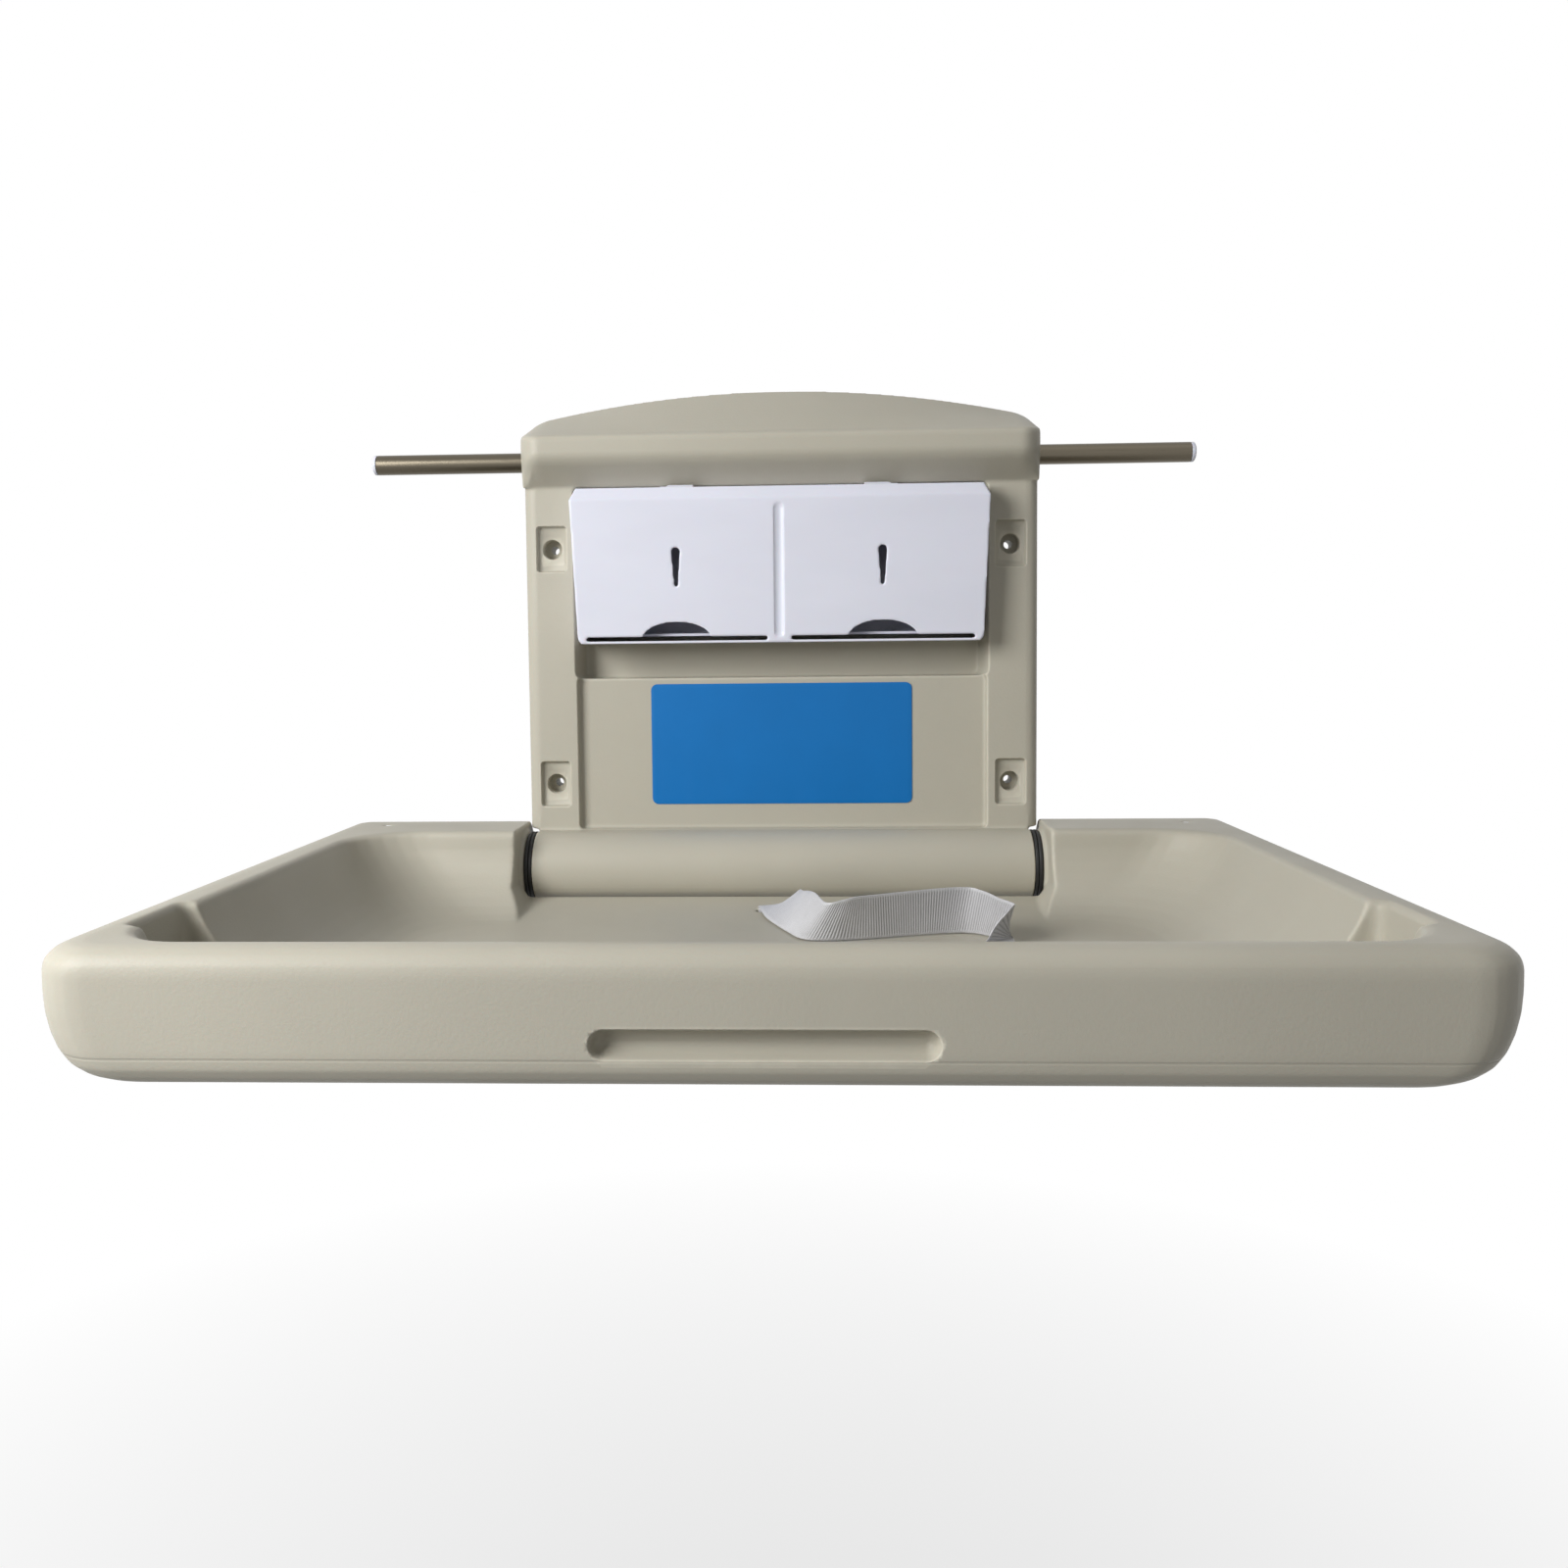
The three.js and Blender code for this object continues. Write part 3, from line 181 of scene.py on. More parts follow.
# The counterbore and hole in its floor, and the bore through the hinge barrel: radius and place along.
WALL_HOLE = (
    (0.0098, 0.0),
    (0.0098, 0.0010),
    (0.0092, 0.0016),
    (0.0090, 0.0150),
    (0.0040, 0.0152),
    (0.0040, 0.0420),
)
BARREL_BORE = (
    (BUSH_RADIUS, -BARREL_HALF - CUT_PAST),
    (BUSH_RADIUS, BUSH_LENGTH - BARREL_HALF),
    (SHAFT_RADIUS + SHAFT_ROOM, BUSH_LENGTH - BARREL_HALF),
    (SHAFT_RADIUS + SHAFT_ROOM, BARREL_HALF - BUSH_LENGTH),
    (BUSH_RADIUS, BARREL_HALF - BUSH_LENGTH),
    (BUSH_RADIUS, BARREL_HALF + CUT_PAST),
)

# The strap's route from its rear slot to its front one: a point of its lower edge, then one of its upper
# edge, each as x, y from the hinge axis and height above the dish's floor, in millimetres.
STRAP_ROUTE = (
    ((-20, -68, -12), (20, -68, -12)),
    ((-20, -68, 2), (20, -68, 2)),
    ((-20, -71.5, 6.5), (20, -73, 10)),
    ((-13, -98, 3), (18, -86, 24)),
    ((-4, -122, 1.6), (21, -104, 27)),
    ((7, -151, 1.6), (29, -148, 32)),
    ((19, -177, 1.6), (39, -189, 34)),
    ((39, -183, 1.6), (53, -195, 37)),
    ((73, -176, 1.6), (72.5, -189, 39.4)),
    ((114, -163, 1.6), (113, -173, 40.2)),
    ((147, -155, 1.6), (153, -161, 40.6)),
    ((162, -157, 1.6), (167, -169, 39.3)),
    ((172, -166, 1.6), (179, -185, 36.7)),
    ((182, -176, 1.6), (188, -197, 33.5)),
    ((185.5, -175.5, 1.6), (186, -200.5, 31.8)),
    ((189, -174.8, 1.6), (182, -203, 27.7)),
    ((191, -174.6, 1.6), (176.7, -205, 23.3)),
    ((191.5, -175.2, 1.6), (171, -206.5, 16.4)),
    ((191.3, -177.5, 1.6), (166.8, -208.5, 9.4)),
    ((191, -184.5, 1.6), (162, -212.5, 5.5)),
    ((190, -199.5, 1.6), (155.5, -218.5, 3.4)),
    ((187.5, -219.5, 1.6), (149, -229, 2.6)),
    ((183, -242.5, 1.6), (143, -245, 2.2)),
    ((176, -266.5, 1.6), (136, -266, 2)),
    ((168, -292, 1.6), (128, -291, 1.9)),
    ((159.5, -318.5, 1.6), (119.5, -318, 1.8)),
    ((153, -338.5, 1.8), (113, -338.5, 1.8)),
    ((150, -348.6, 2.6), (110, -348.6, 2.6)),
    ((150, -350.4, -2), (110, -350.4, -2)),
    ((150, -350.4, -12), (110, -350.4, -12)),
)
STRAP_SAMPLES = 2400  # points along each edge of the route
ROWS_PER_RIB = 6
WEBBING_COLUMNS = 27
EDGE_THINNING = 0.35  # thickness at the very edge of the webbing, against its middle

# Label: points across and up its film, the middle of its ripples in shares of its half size, how far they
# spread, their waves per metre across and up, and the width and the fall of its rounded edge
LABEL_GRID = (121, 61)
RIPPLE_AT = (-0.8, 0.7)
RIPPLE_SPREAD = 0.0008  # square metres
RIPPLE_WAVES = (260, 340)
LABEL_EDGE = (0.0012, 0.00025)

# Screw heads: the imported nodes' stem, how many there are, their body, which way they face and their height
SCREW_SETS = (
    ("back_plate_screw_", 6, WALL_BODY, (0, 1, 0), 0.0024),
    ("dispenser_screw_", 4, WALL_BODY, (0, -1, 0), 0.0024),
    ("tray_screw_", 8, TRAY_BODY, (0, 0, -1), 0.003),
)
SHAFT_SCREW_HEAD = 0.003

# Stage: lamps by name, with the setting of their power, their place and their size
LAMP_AIM = Vector((0, -0.25, 0.1))
LAMPS = (
    ("Key lamp", "key_power", (-1.25, -1.3, 0.75), 0.9),
    ("Fill lamp", "fill_power", (1.7, -1.8, 0.7), 1.6),
    ("Top lamp", "top_power", (0.55, -0.75, 1.9), 1.4),
)
FLOOR_OUT = -0.25  # the floor's middle in front of the wall
FLOOR_FADE = (0.1, 0.6)  # where its fade starts and ends, in shares of its radius
FLOOR_WHITE = 0.72  # how white its middle is shown
SENSOR_WIDTH = 36.0  # millimetres


# Meshes


def new_piece(name, bm):
    """Turns bm into a linked object called name."""
    bmesh.ops.recalc_face_normals(bm, faces=bm.faces)
    mesh = bpy.data.meshes.new(name)
    bm.to_mesh(mesh)
    bm.free()
    piece = bpy.data.objects.new(name, mesh)
    bpy.context.scene.collection.objects.link(piece)
    return piece


def set_on_body(piece, body, slot, material, *nodes):
    """Gives a piece its finish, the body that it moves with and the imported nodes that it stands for."""
    piece.data.materials.clear()
    piece.data.materials.append(material)
    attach(piece, body)
    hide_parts(*nodes)


def shade(piece, angle):
    """Smooth shading that breaks at edges sharper than angle, in degrees."""
    piece.data.shade_smooth()
    piece.data.set_sharp_from_angle(angle=math.radians(angle))


def bake_modifiers(piece):
    """Replaces a piece's mesh by what its modifiers make of it."""
    graph = bpy.context.evaluated_depsgraph_get()
    mesh = bpy.data.meshes.new_from_object(piece.evaluated_get(graph))
    old = piece.data
    piece.modifiers.clear()
    piece.data = mesh
    mesh.name = piece.name
    bpy.data.meshes.remove(old)


def add_node(bm, node, shift=(0, 0, 0)):
    """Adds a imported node's solid to bm, moved by shift."""
    first = len(bm.verts)
    bm.from_mesh(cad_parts[node].data)
    bm.verts.ensure_lookup_table()
    for vert in bm.verts[first:]:
        vert.co += Vector(shift)


def add_block(bm, middle, size):
    """Adds a plain block to bm."""
    made = bmesh.ops.create_cube(bm, size=1)
    for vert in made["verts"]:
        vert.co = Vector(middle) + Vector(a * b for a, b in zip(vert.co, size))


def add_loft(bm, rings):
    """Joins loops of equal point counts into one closed solid in bm."""
    made = [[bm.verts.new(point) for point in ring] for ring in rings]
    for lower, upper in zip(made, made[1:]):
        for step in range(len(lower)):
            after = (step + 1) % len(lower)
            bm.faces.new((lower[step], lower[after], upper[after], upper[step]))
    bm.faces.new(made[0])
    bm.faces.new(made[-1])


def add_turned(bm, profile, place, segments=96):
    """Spins (radius, height) points about +Z, closes both ends and moves the result by the matrix place."""
    rings = []
    for radius, height in profile:
        angles = [2 * math.pi * step / segments for step in range(segments)]
        ring = [Vector((radius * math.cos(angle), radius * math.sin(angle), height)) for angle in angles]
        rings.append([place @ point for point in ring])
    add_loft(bm, rings)


def add_scoop(bm, middle, half_wide, half_high, corner, steps):
    """Adds a rounded hollow that runs back along +Y; each step is a depth and how far it draws in there."""
    least_corner = 0.0002
    rings = []
    for depth, inset in steps:
        outline = rounded_outline(half_wide - inset, half_high - inset, max(corner - inset, least_corner))
        rings.append([Vector((middle[0] + u, middle[1] + depth, middle[2] + v)) for u, v in outline])
    add_loft(bm, rings)


def rounded_outline(half_wide, half_high, corner, steps=6):
    """Points round a rectangle with rounded corners, about its middle."""
    points = []
    for turn, (across, up) in enumerate(((1, 1), (-1, 1), (-1, -1), (1, -1))):
        for step in range(steps + 1):
            angle = math.pi / 2 * (turn + step / steps)
            u = across * (half_wide - corner) + corner * math.cos(angle)
            v = up * (half_high - corner) + corner * math.sin(angle)
            points.append((u, v))
    return points


def along(direction, start):
    """The matrix that takes +Z to direction and the origin to start."""
    turn = Vector((0, 0, 1)).rotation_difference(Vector(direction)).to_matrix().to_4x4()
    return Matrix.Translation(start) @ turn


def moulded_skin(name, bm, voxel, rounds):
    """One continuous skin round the solids in bm, with the eased edges of a moulding."""
    bmesh.ops.remove_doubles(bm, verts=bm.verts, dist=WELD)
    piece = new_piece(name, bm)
    skin = piece.modifiers.new("Skin", "REMESH")
    skin.mode = "VOXEL"
    skin.voxel_size = voxel
    ease = piece.modifiers.new("Ease", "SMOOTH")
    ease.factor = 0.5
    ease.iterations = rounds
    bake_modifiers(piece)
    return piece


def mark_edges(piece):
    """Stores how sharply the surface bends outwards, per metre, for the painted highlight and wear along its
    edges.
    """
    mesh = piece.data
    places = np.empty(3 * len(mesh.vertices))
    mesh.vertices.foreach_get("co", places)
    places = places.reshape(-1, 3)
    normals = np.empty(3 * len(mesh.vertices))
    mesh.vertices.foreach_get("normal", normals)
    normals = normals.reshape(-1, 3)
    ends = np.empty(2 * len(mesh.edges), dtype=int)
    mesh.edges.foreach_get("vertices", ends)
    first, second = ends.reshape(-1, 2).T
    step = places[second] - places[first]
    square = np.maximum((step * step).sum(axis=1), WELD**2)
    fall = -(step * normals[first]).sum(axis=1) / square
    rise = (step * normals[second]).sum(axis=1) / square
    here = np.concatenate((first, second))
    there = np.concatenate((second, first))
    shares = np.maximum(np.bincount(here, minlength=len(places)), 1)
    turning = np.bincount(here, np.concatenate((fall, rise)), len(places)) / shares
    for _ in range(2):
        turning = 0.5 * turning + 0.5 * np.bincount(here, turning[there], len(places)) / shares
    mesh.attributes.new("edge", "FLOAT", "POINT").data.foreach_set("value", turning)


def carve(piece, bm):
    """Cuts the solids in bm out of a piece."""
    cutter = new_piece(piece.name + "_cutter", bm)
    cut = piece.modifiers.new("Cut", "BOOLEAN")
    cut.operation = "DIFFERENCE"
    cut.solver = "MANIFOLD"
    cut.object = cutter
    bake_modifiers(piece)
    bpy.data.objects.remove(cutter)


def eased_copy(node, bevel):
    """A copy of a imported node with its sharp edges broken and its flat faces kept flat."""
    nearly_flat = math.radians(0.5)
    bm = bmesh.new()
    add_node(bm, node)
    bmesh.ops.remove_doubles(bm, verts=bm.verts, dist=WELD)
    bmesh.ops.dissolve_limit(bm, angle_limit=nearly_flat, verts=bm.verts, edges=bm.edges)
    piece = new_piece(node + "_finished", bm)
    shade(piece, EDGE_ANGLE)
    edge = piece.modifiers.new("Edge", "BEVEL")
    edge.width = bevel
    edge.segments = 2
    edge.limit_method = "ANGLE"
    edge.angle_limit = math.radians(EDGE_ANGLE)
    flats = piece.modifiers.new("Flats", "WEIGHTED_NORMAL")
    flats.keep_sharp = True
    bake_modifiers(piece)
    return piece


def stitch(bm, front, back):
    """Closes two equal grids of points into one thin plate: both faces and the four edges round them."""
    for grid in (front, back):
        for low, high in zip(grid, grid[1:]):
            for column in range(len(low) - 1):
                bm.faces.new((low[column], low[column + 1], high[column + 1], high[column]))
    for column in (0, -1):
        for row in range(len(front) - 1):
            edge = (front[row][column], front[row + 1][column], back[row + 1][column], back[row][column])
            bm.faces.new(edge)
    for row in (0, -1):
        for column in range(len(front[row]) - 1):
            edge = (front[row][column], front[row][column + 1], back[row][column + 1], back[row][column])
            bm.faces.new(edge)


def catmull_rom(points, count):
    """count points along the smooth curve through points, evenly spread over its spans."""
    spans = len(points) - 1
    padded = [2 * points[0] - points[1], *points, 2 * points[-1] - points[-2]]
    curve = []
    for step in range(count):
        place = step * spans / (count - 1)
        span = min(int(place), spans - 1)
        t = place - span
        a, b, c, d = padded[span : span + 4]
        curve.append(
            0.5
            * (
                2 * b
                + (c - a) * t
                + (2 * a - 5 * b + 4 * c - d) * t**2
                + (3 * b - a - 3 * c + d) * t**3
            )
        )
    return curve


# Finishes


class Finish:
    """A material that is put together from texture nodes in the frame's own coordinates."""

    def __init__(self, name):
        self.material = bpy.data.materials.new(name)
        self.material.use_nodes = True
        self.nodes = self.material.node_tree.nodes
        self.links = self.material.node_tree.links
        self.shader = self.nodes["Principled BSDF"]
        self.place = self.nodes.new("ShaderNodeTexCoord").outputs["Object"]

    def set(self, **sockets):
        """Sets plain values on the shader; an underscore in a name stands for a space."""
        for name, value in sockets.items():
            self.shader.inputs[name.replace("_", " ")].default_value = value

    def join(self, source, socket):
        """Leads a texture's output into the shader."""
        self.links.new(source, self.shader.inputs[socket])

    def noise(self, scale, detail=3.0, stretch=(1, 1, 1), rough=0.55):
        """Cloudy values about 0.5, scale per metre, drawn out along the axes whose stretch is small."""
        mapping = self.nodes.new("ShaderNodeMapping")
        mapping.inputs["Scale"].default_value = stretch
        self.links.new(self.place, mapping.inputs["Vector"])
        noise = self.nodes.new("ShaderNodeTexNoise")
        noise.inputs["Scale"].default_value = scale
        noise.inputs["Detail"].default_value = detail
        noise.inputs["Roughness"].default_value = rough
        self.links.new(mapping.outputs["Vector"], noise.inputs["Vector"])
        return noise.outputs["Fac"]

    def remap(self, value, low, high, to_low, to_high):
        """Takes values from low to high to the range from to_low to to_high, and holds them there."""
        node = self.nodes.new("ShaderNodeMapRange")
        limits = {"From Min": low, "From Max": high, "To Min": to_low, "To Max": to_high}
        for name, limit in limits.items():
            node.inputs[name].default_value = limit
        self.links.new(value, node.inputs["Value"])
        return node.outputs["Result"]

    def maths(self, operation, first, second):
        """A sum or the like of two values, each a number or a texture's output."""
        node = self.nodes.new("ShaderNodeMath")
        node.operation = operation
        for socket, value in zip(node.inputs, (first, second)):
            if isinstance(value, (int, float)):
                socket.default_value = value
            else:
                self.links.new(value, socket)
        return node.outputs["Value"]

    def mix(self, factor, first, second):
        """Goes from the first colour to the second as factor goes from 0 to 1."""
        node = self.nodes.new("ShaderNodeMix")
        node.data_type = "RGBA"
        self.links.new(factor, node.inputs["Factor"])
        for name, colour in (("A_Color", first), ("B_Color", second)):
            socket = next(s for s in node.inputs if s.identifier == name)
            if hasattr(colour, "links"):
                self.links.new(colour, socket)
            else:
                socket.default_value = (*colour[:3], 1)
        return next(s for s in node.outputs if s.identifier == "Result_Color")

    def bump(self, height, distance, under=None):
        """Raises the surface by height times distance, over the bumps in under."""
        node = self.nodes.new("ShaderNodeBump")
        node.inputs["Distance"].default_value = distance
        node.inputs["Strength"].default_value = 1.0
        self.links.new(height, node.inputs["Height"])
        if under is not None:
            self.links.new(under, node.inputs["Normal"])
        return node.outputs["Normal"]

    def attribute(self, name):
        """A value that the mesh holds for each of its points."""
        node = self.nodes.new("ShaderNodeAttribute")
        node.attribute_name = name
        return node.outputs["Fac"]

    def height(self):
        """Height above the hinge axis."""
        node = self.nodes.new("ShaderNodeSeparateXYZ")
        self.links.new(self.place, node.inputs["Vector"])
        return node.outputs["Z"]


def tinted(colour, factor):
    """A colour made lighter or darker by a factor."""
    return tuple(min(1.0, c * factor) for c in colour[:3])


def shell_finish(settings, name="Moulded polyethylene", seam=False):
    """Satin moulded polyethylene: faint clouding, orange peel, fine scuffs, and convex edges painted paler
    as a painted highlight with some wear.
    """
    finish = Finish(name)
    colour = settings.colour
    cloud = finish.remap(finish.noise(5.0, 4.0), 0.3, 0.7, 0.0, 1.0)
    base = finish.mix(cloud, tinted(colour, 0.96), tinted(colour, 1.03))
    speck = finish.remap(finish.noise(700.0, 2.0), 0.62, 0.8, 0.0, 0.35)
    base = finish.mix(speck, base, tinted(colour, 0.86))
    scuff_lines = finish.noise(26.0, 6.0, stretch=(0.35, 1.0, 5.0), rough=0.7)
    scuff_area = finish.remap(finish.noise(9.0, 2.0), 0.52, 0.7, 0.0, 1.0)
    scuffs = finish.maths("MULTIPLY", finish.remap(scuff_lines, 0.60, 0.68, 0.0, 1.0), scuff_area)
    base = finish.mix(finish.maths("MULTIPLY", scuffs, 0.25), base, tinted(colour, 1.14))
    # Convex edges painted paler: a painted highlight along the edges, with some wear, broken up by noise.
    highlit_and_worn = finish.remap(finish.attribute("edge"), 22.0, 90.0, 0.0, settings.edge_highlight_and_wear)
    highlit_and_worn = finish.maths("MULTIPLY", highlit_and_worn, finish.remap(finish.noise(60.0, 4.0), 0.35, 0.6, 0.55, 1.0))
    base = finish.mix(highlit_and_worn, base, tinted(colour, 1.3))
    peel = finish.noise(settings.peel_scale, 2.0)
    pebble = finish.noise(settings.peel_scale * 3.2, 1.0)
    normal = finish.bump(peel, settings.peel_depth)
    normal = finish.bump(pebble, settings.peel_depth * 0.35, normal)
    normal = finish.bump(scuffs, -0.00005, normal)
    smoothest, roughest = settings.roughness - 0.05, settings.roughness + 0.06
    rough = finish.remap(finish.noise(14.0, 5.0), 0.3, 0.7, smoothest, roughest)
    rough = finish.maths("ADD", rough, finish.maths("MULTIPLY", scuffs, 0.12))
    if seam:
        off_seam = finish.maths("ABSOLUTE", finish.maths("SUBTRACT", finish.height(), SEAM_RISE), 0.0)
        line = finish.remap(off_seam, 0.0003, 0.0011, 1.0, 0.0)
        line = finish.maths("MULTIPLY", line, finish.attribute("outside"))
        base = finish.mix(finish.maths("MULTIPLY", line, 0.12), base, tinted(colour, 0.7))
        normal = finish.bump(line, -0.0002, normal)
    finish.join(base, "Base Color")
    finish.join(rough, "Roughness")
    finish.join(normal, "Normal")
    finish.set(Specular_IOR_Level=0.24, Subsurface_Weight=0.04, Subsurface_Scale=0.004)
    return finish.material


def plate_finish(settings):
    """Plain plastic sheet with the fine lines of its extrusion."""
    finish = Finish("Extruded sheet")
    lines = finish.noise(300.0, 3.0, stretch=(1.0, 1.0, 0.02))
    colour = settings.plate_colour
    cloud = finish.remap(finish.noise(6.0, 4.0), 0.3, 0.7, 0.0, 1.0)
    finish.join(finish.mix(cloud, tinted(colour, 0.93), tinted(colour, 1.05)), "Base Color")
    finish.join(finish.remap(lines, 0.3, 0.7, 0.42, 0.58), "Roughness")
    finish.join(finish.bump(lines, 0.00006), "Normal")
    return finish.material


def white_finish(settings):
    """Smooth white moulding with faint flow marks and hairline scratches."""
    finish = Finish("White moulding")
    colour = settings.colour
    flow = finish.remap(finish.noise(12.0, 4.0, stretch=(0.5, 1.0, 1.6)), 0.3, 0.7, 0.0, 1.0)
    base = finish.mix(flow, tinted(colour, 0.975), tinted(colour, 1.02))
    hair = finish.remap(finish.noise(60.0, 8.0, stretch=(0.3, 1.0, 6.0), rough=0.75), 0.66, 0.72, 0.0, 1.0)
    base = finish.mix(finish.maths("MULTIPLY", hair, 0.12), base, tinted(colour, 0.85))
    rough = finish.remap(flow, 0.0, 1.0, settings.roughness - 0.03, settings.roughness + 0.05)
    finish.join(base, "Base Color")
    finish.join(finish.maths("ADD", rough, finish.maths("MULTIPLY", hair, 0.15)), "Roughness")
    normal = finish.bump(finish.noise(160.0, 2.0), 0.00004)
    finish.join(finish.bump(hair, -0.00003, normal), "Normal")
    finish.set(Specular_IOR_Level=0.35, Subsurface_Weight=0.06, Subsurface_Scale=0.003)
    return finish.material


def brushed_finish(settings):
    """Stainless tube brushed along its length, its colour darkened as a painted reflection of a dark room.
    """
    finish = Finish("Brushed stainless")
    colour = settings.steel_dark_reflection_colour
    grain = finish.noise(900.0, 4.0, stretch=(0.012, 1.0, 1.0), rough=0.65)
    broad = finish.noise(120.0, 3.0, stretch=(0.02, 1.0, 1.0))
    tone = finish.remap(finish.maths("ADD", grain, broad), 0.7, 1.3, 0.0, 1.0)
    finish.join(finish.mix(tone, tinted(colour, 0.86), tinted(colour, 1.1)), "Base Color")
    finish.join(finish.remap(grain, 0.3, 0.7, 0.26, 0.42), "Roughness")
    finish.join(finish.bump(grain, 0.00005, finish.bump(broad, 0.00004)), "Normal")
    finish.set(Metallic=1.0)
    return finish.material


def zinc_finish(settings):
    """Bright zinc plate, with a cloudy crystal pattern and dulled patches."""
    finish = Finish("Zinc plate")
    colour = settings.zinc_colour
    crystal = finish.noise(420.0, 3.0)
    dull = finish.noise(90.0, 4.0)
    finish.join(finish.mix(crystal, tinted(colour, 0.8), tinted(colour, 1.1)), "Base Color")
    finish.join(finish.remap(dull, 0.3, 0.7, 0.28, 0.48), "Roughness")
    finish.join(finish.bump(crystal, 0.00005), "Normal")
    finish.set(Metallic=1.0)
    return finish.material


def washer_finish(settings):
    """Matte black washer with fine turning marks and dust."""
    finish = Finish("Black washer")
    dust = finish.remap(finish.noise(130.0, 5.0), 0.55, 0.8, 0.0, 0.6)
    finish.join(finish.mix(dust, settings.washer_colour, tinted(settings.washer_colour, 3.0)), "Base Color")
    finish.join(finish.remap(finish.noise(60.0, 4.0), 0.3, 0.7, 0.5, 0.7), "Roughness")
    finish.join(finish.bump(finish.noise(1500.0, 2.0), 0.00004), "Normal")
    return finish.material


def nylon_finish(settings):
    """Natural nylon, waxy and slightly see-through at its edges."""
    finish = Finish("Natural nylon")
    colour = settings.nylon_colour
    cloud = finish.noise(80.0, 3.0)
    finish.join(finish.mix(cloud, tinted(colour, 0.93), tinted(colour, 1.03)), "Base Color")
    finish.join(finish.remap(cloud, 0.3, 0.7, 0.38, 0.5), "Roughness")
    finish.join(finish.bump(finish.noise(900.0, 2.0), 0.00003), "Normal")
    finish.set(Subsurface_Weight=0.15, Subsurface_Scale=0.002)
    return finish.material


def label_finish(settings):
    """Printed film: even ink, the roller's faint streaks in its gloss, and a few hairline scratches."""
    finish = Finish("Printed film")
    colour = settings.colour
    streak = finish.noise(180.0, 3.0, stretch=(1.0, 1.0, 0.03))
    cloud = finish.remap(finish.noise(18.0, 3.0), 0.3, 0.7, 0.0, 1.0)
    base = finish.mix(cloud, tinted(colour, 0.97), tinted(colour, 1.03))
    hair = finish.remap(finish.noise(55.0, 7.0, stretch=(1.0, 1.0, 0.4), rough=0.75), 0.68, 0.74, 0.0, 1.0)
    base = finish.mix(finish.maths("MULTIPLY", hair, 0.05), base, tinted(colour, 1.4))
    finish.join(base, "Base Color")
    finish.join(finish.remap(streak, 0.3, 0.7, 0.34, 0.42), "Roughness")
    finish.join(finish.bump(finish.noise(240.0, 3.0), 0.00002), "Normal")
    finish.set(Specular_IOR_Level=0.3)
    return finish.material


def webbing_finish(settings):
    """Silver-grey polyester webbing: yarn by yarn tone, a little grime, painted shade in the rib valleys and
    a silky sheen.
    """
    finish = Finish("Ribbed webbing")
    colour = settings.colour
    yarn = finish.noise(2600.0, 2.0)
    patch = finish.remap(finish.noise(45.0, 4.0), 0.3, 0.7, 0.0, 1.0)
    rib = finish.attribute("rib")
    base = finish.mix(patch, tinted(colour, 0.9), tinted(colour, 1.05))
    # Painted shade in the rib valleys: the webbing is darkened where its ribs dip.
    base = finish.mix(finish.remap(rib, 0.0, 0.55, 0.85, 0.0), base, tinted(colour, 0.36))
    base = finish.mix(finish.remap(yarn, 0.35, 0.65, 0.0, 0.4), base, tinted(colour, 1.25))
    finish.join(base, "Base Color")
    finish.join(finish.remap(yarn, 0.3, 0.7, 0.36, 0.5), "Roughness")
    finish.join(finish.bump(yarn, 0.00012), "Normal")
    finish.set(Sheen_Weight=0.12, Sheen_Roughness=0.4, Specular_IOR_Level=1.0)
    return finish.material


# Settings


class ShellSettings(bpy.types.PropertyGroup):
    """The moulded tray, panel and back plate."""

    colour: FloatVectorProperty(
        name="Shell colour",
        description="Colour of the moulded shells",
        subtype="COLOR",
        default=(0.470, 0.445, 0.370),
    )
    plate_colour: FloatVectorProperty(
        name="Plate colour",
        description="Colour of the back plate",
        subtype="COLOR",
        default=(0.39, 0.36, 0.28),
    )
    roughness: FloatProperty(
        name="Roughness",
        description="Gloss of the shells",
        subtype="FACTOR",
        default=0.46,
    )
    peel_scale: FloatProperty(name="Peel scale", description="Orange-peel dimples per metre", default=420.0)
    peel_depth: FloatProperty(
        name="Peel depth",
        description="Depth of the orange peel",
        subtype="DISTANCE",
        default=0.00012,
        precision=5,
    )
    # How much paler convex edges are painted: a painted edge highlight, with some wear.
    edge_highlight_and_wear: FloatProperty(
        name="Edge wear", description="How far worn edges turn paler", subtype="FACTOR", default=0.6
    )
    tray_voxel: FloatProperty(
        name="Tray detail",
        description="Smallest detail of the tray's skin",
        subtype="DISTANCE",
        default=0.0019,
    )
    tray_rounds: IntProperty(name="Tray easing", description="Smoothing rounds on the tray", default=6)
    panel_voxel: FloatProperty(
        name="Panel detail",
        description="Smallest detail of the panel's skin",
        subtype="DISTANCE",
        default=0.0012,
    )
    panel_rounds: IntProperty(name="Panel easing", description="Smoothing rounds on the panel", default=8)


class DispenserSettings(bpy.types.PropertyGroup):
    """The white liner dispenser and rod caps."""

    colour: FloatVectorProperty(
        name="Colour",
        description="Colour of the white mouldings",
        subtype="COLOR",
        default=(0.72, 0.73, 0.82),
    )
    roughness: FloatProperty(
        name="Roughness",
        description="Gloss of the white parts",
        subtype="FACTOR",
        default=0.3,
    )
    voxel: FloatProperty(
        name="Detail", description="Smallest detail of the cover's skin", subtype="DISTANCE", default=0.0011
    )
    rounds: IntProperty(name="Easing", description="Smoothing rounds on the cover", default=4)
    groove_half: FloatProperty(
        name="Groove half width",
        description="Middle of the groove to its side",
        subtype="DISTANCE",
        default=0.0046,
    )
    groove_depth: FloatProperty(
        name="Groove depth", description="Depth of the middle groove", subtype="DISTANCE", default=0.0019
    )


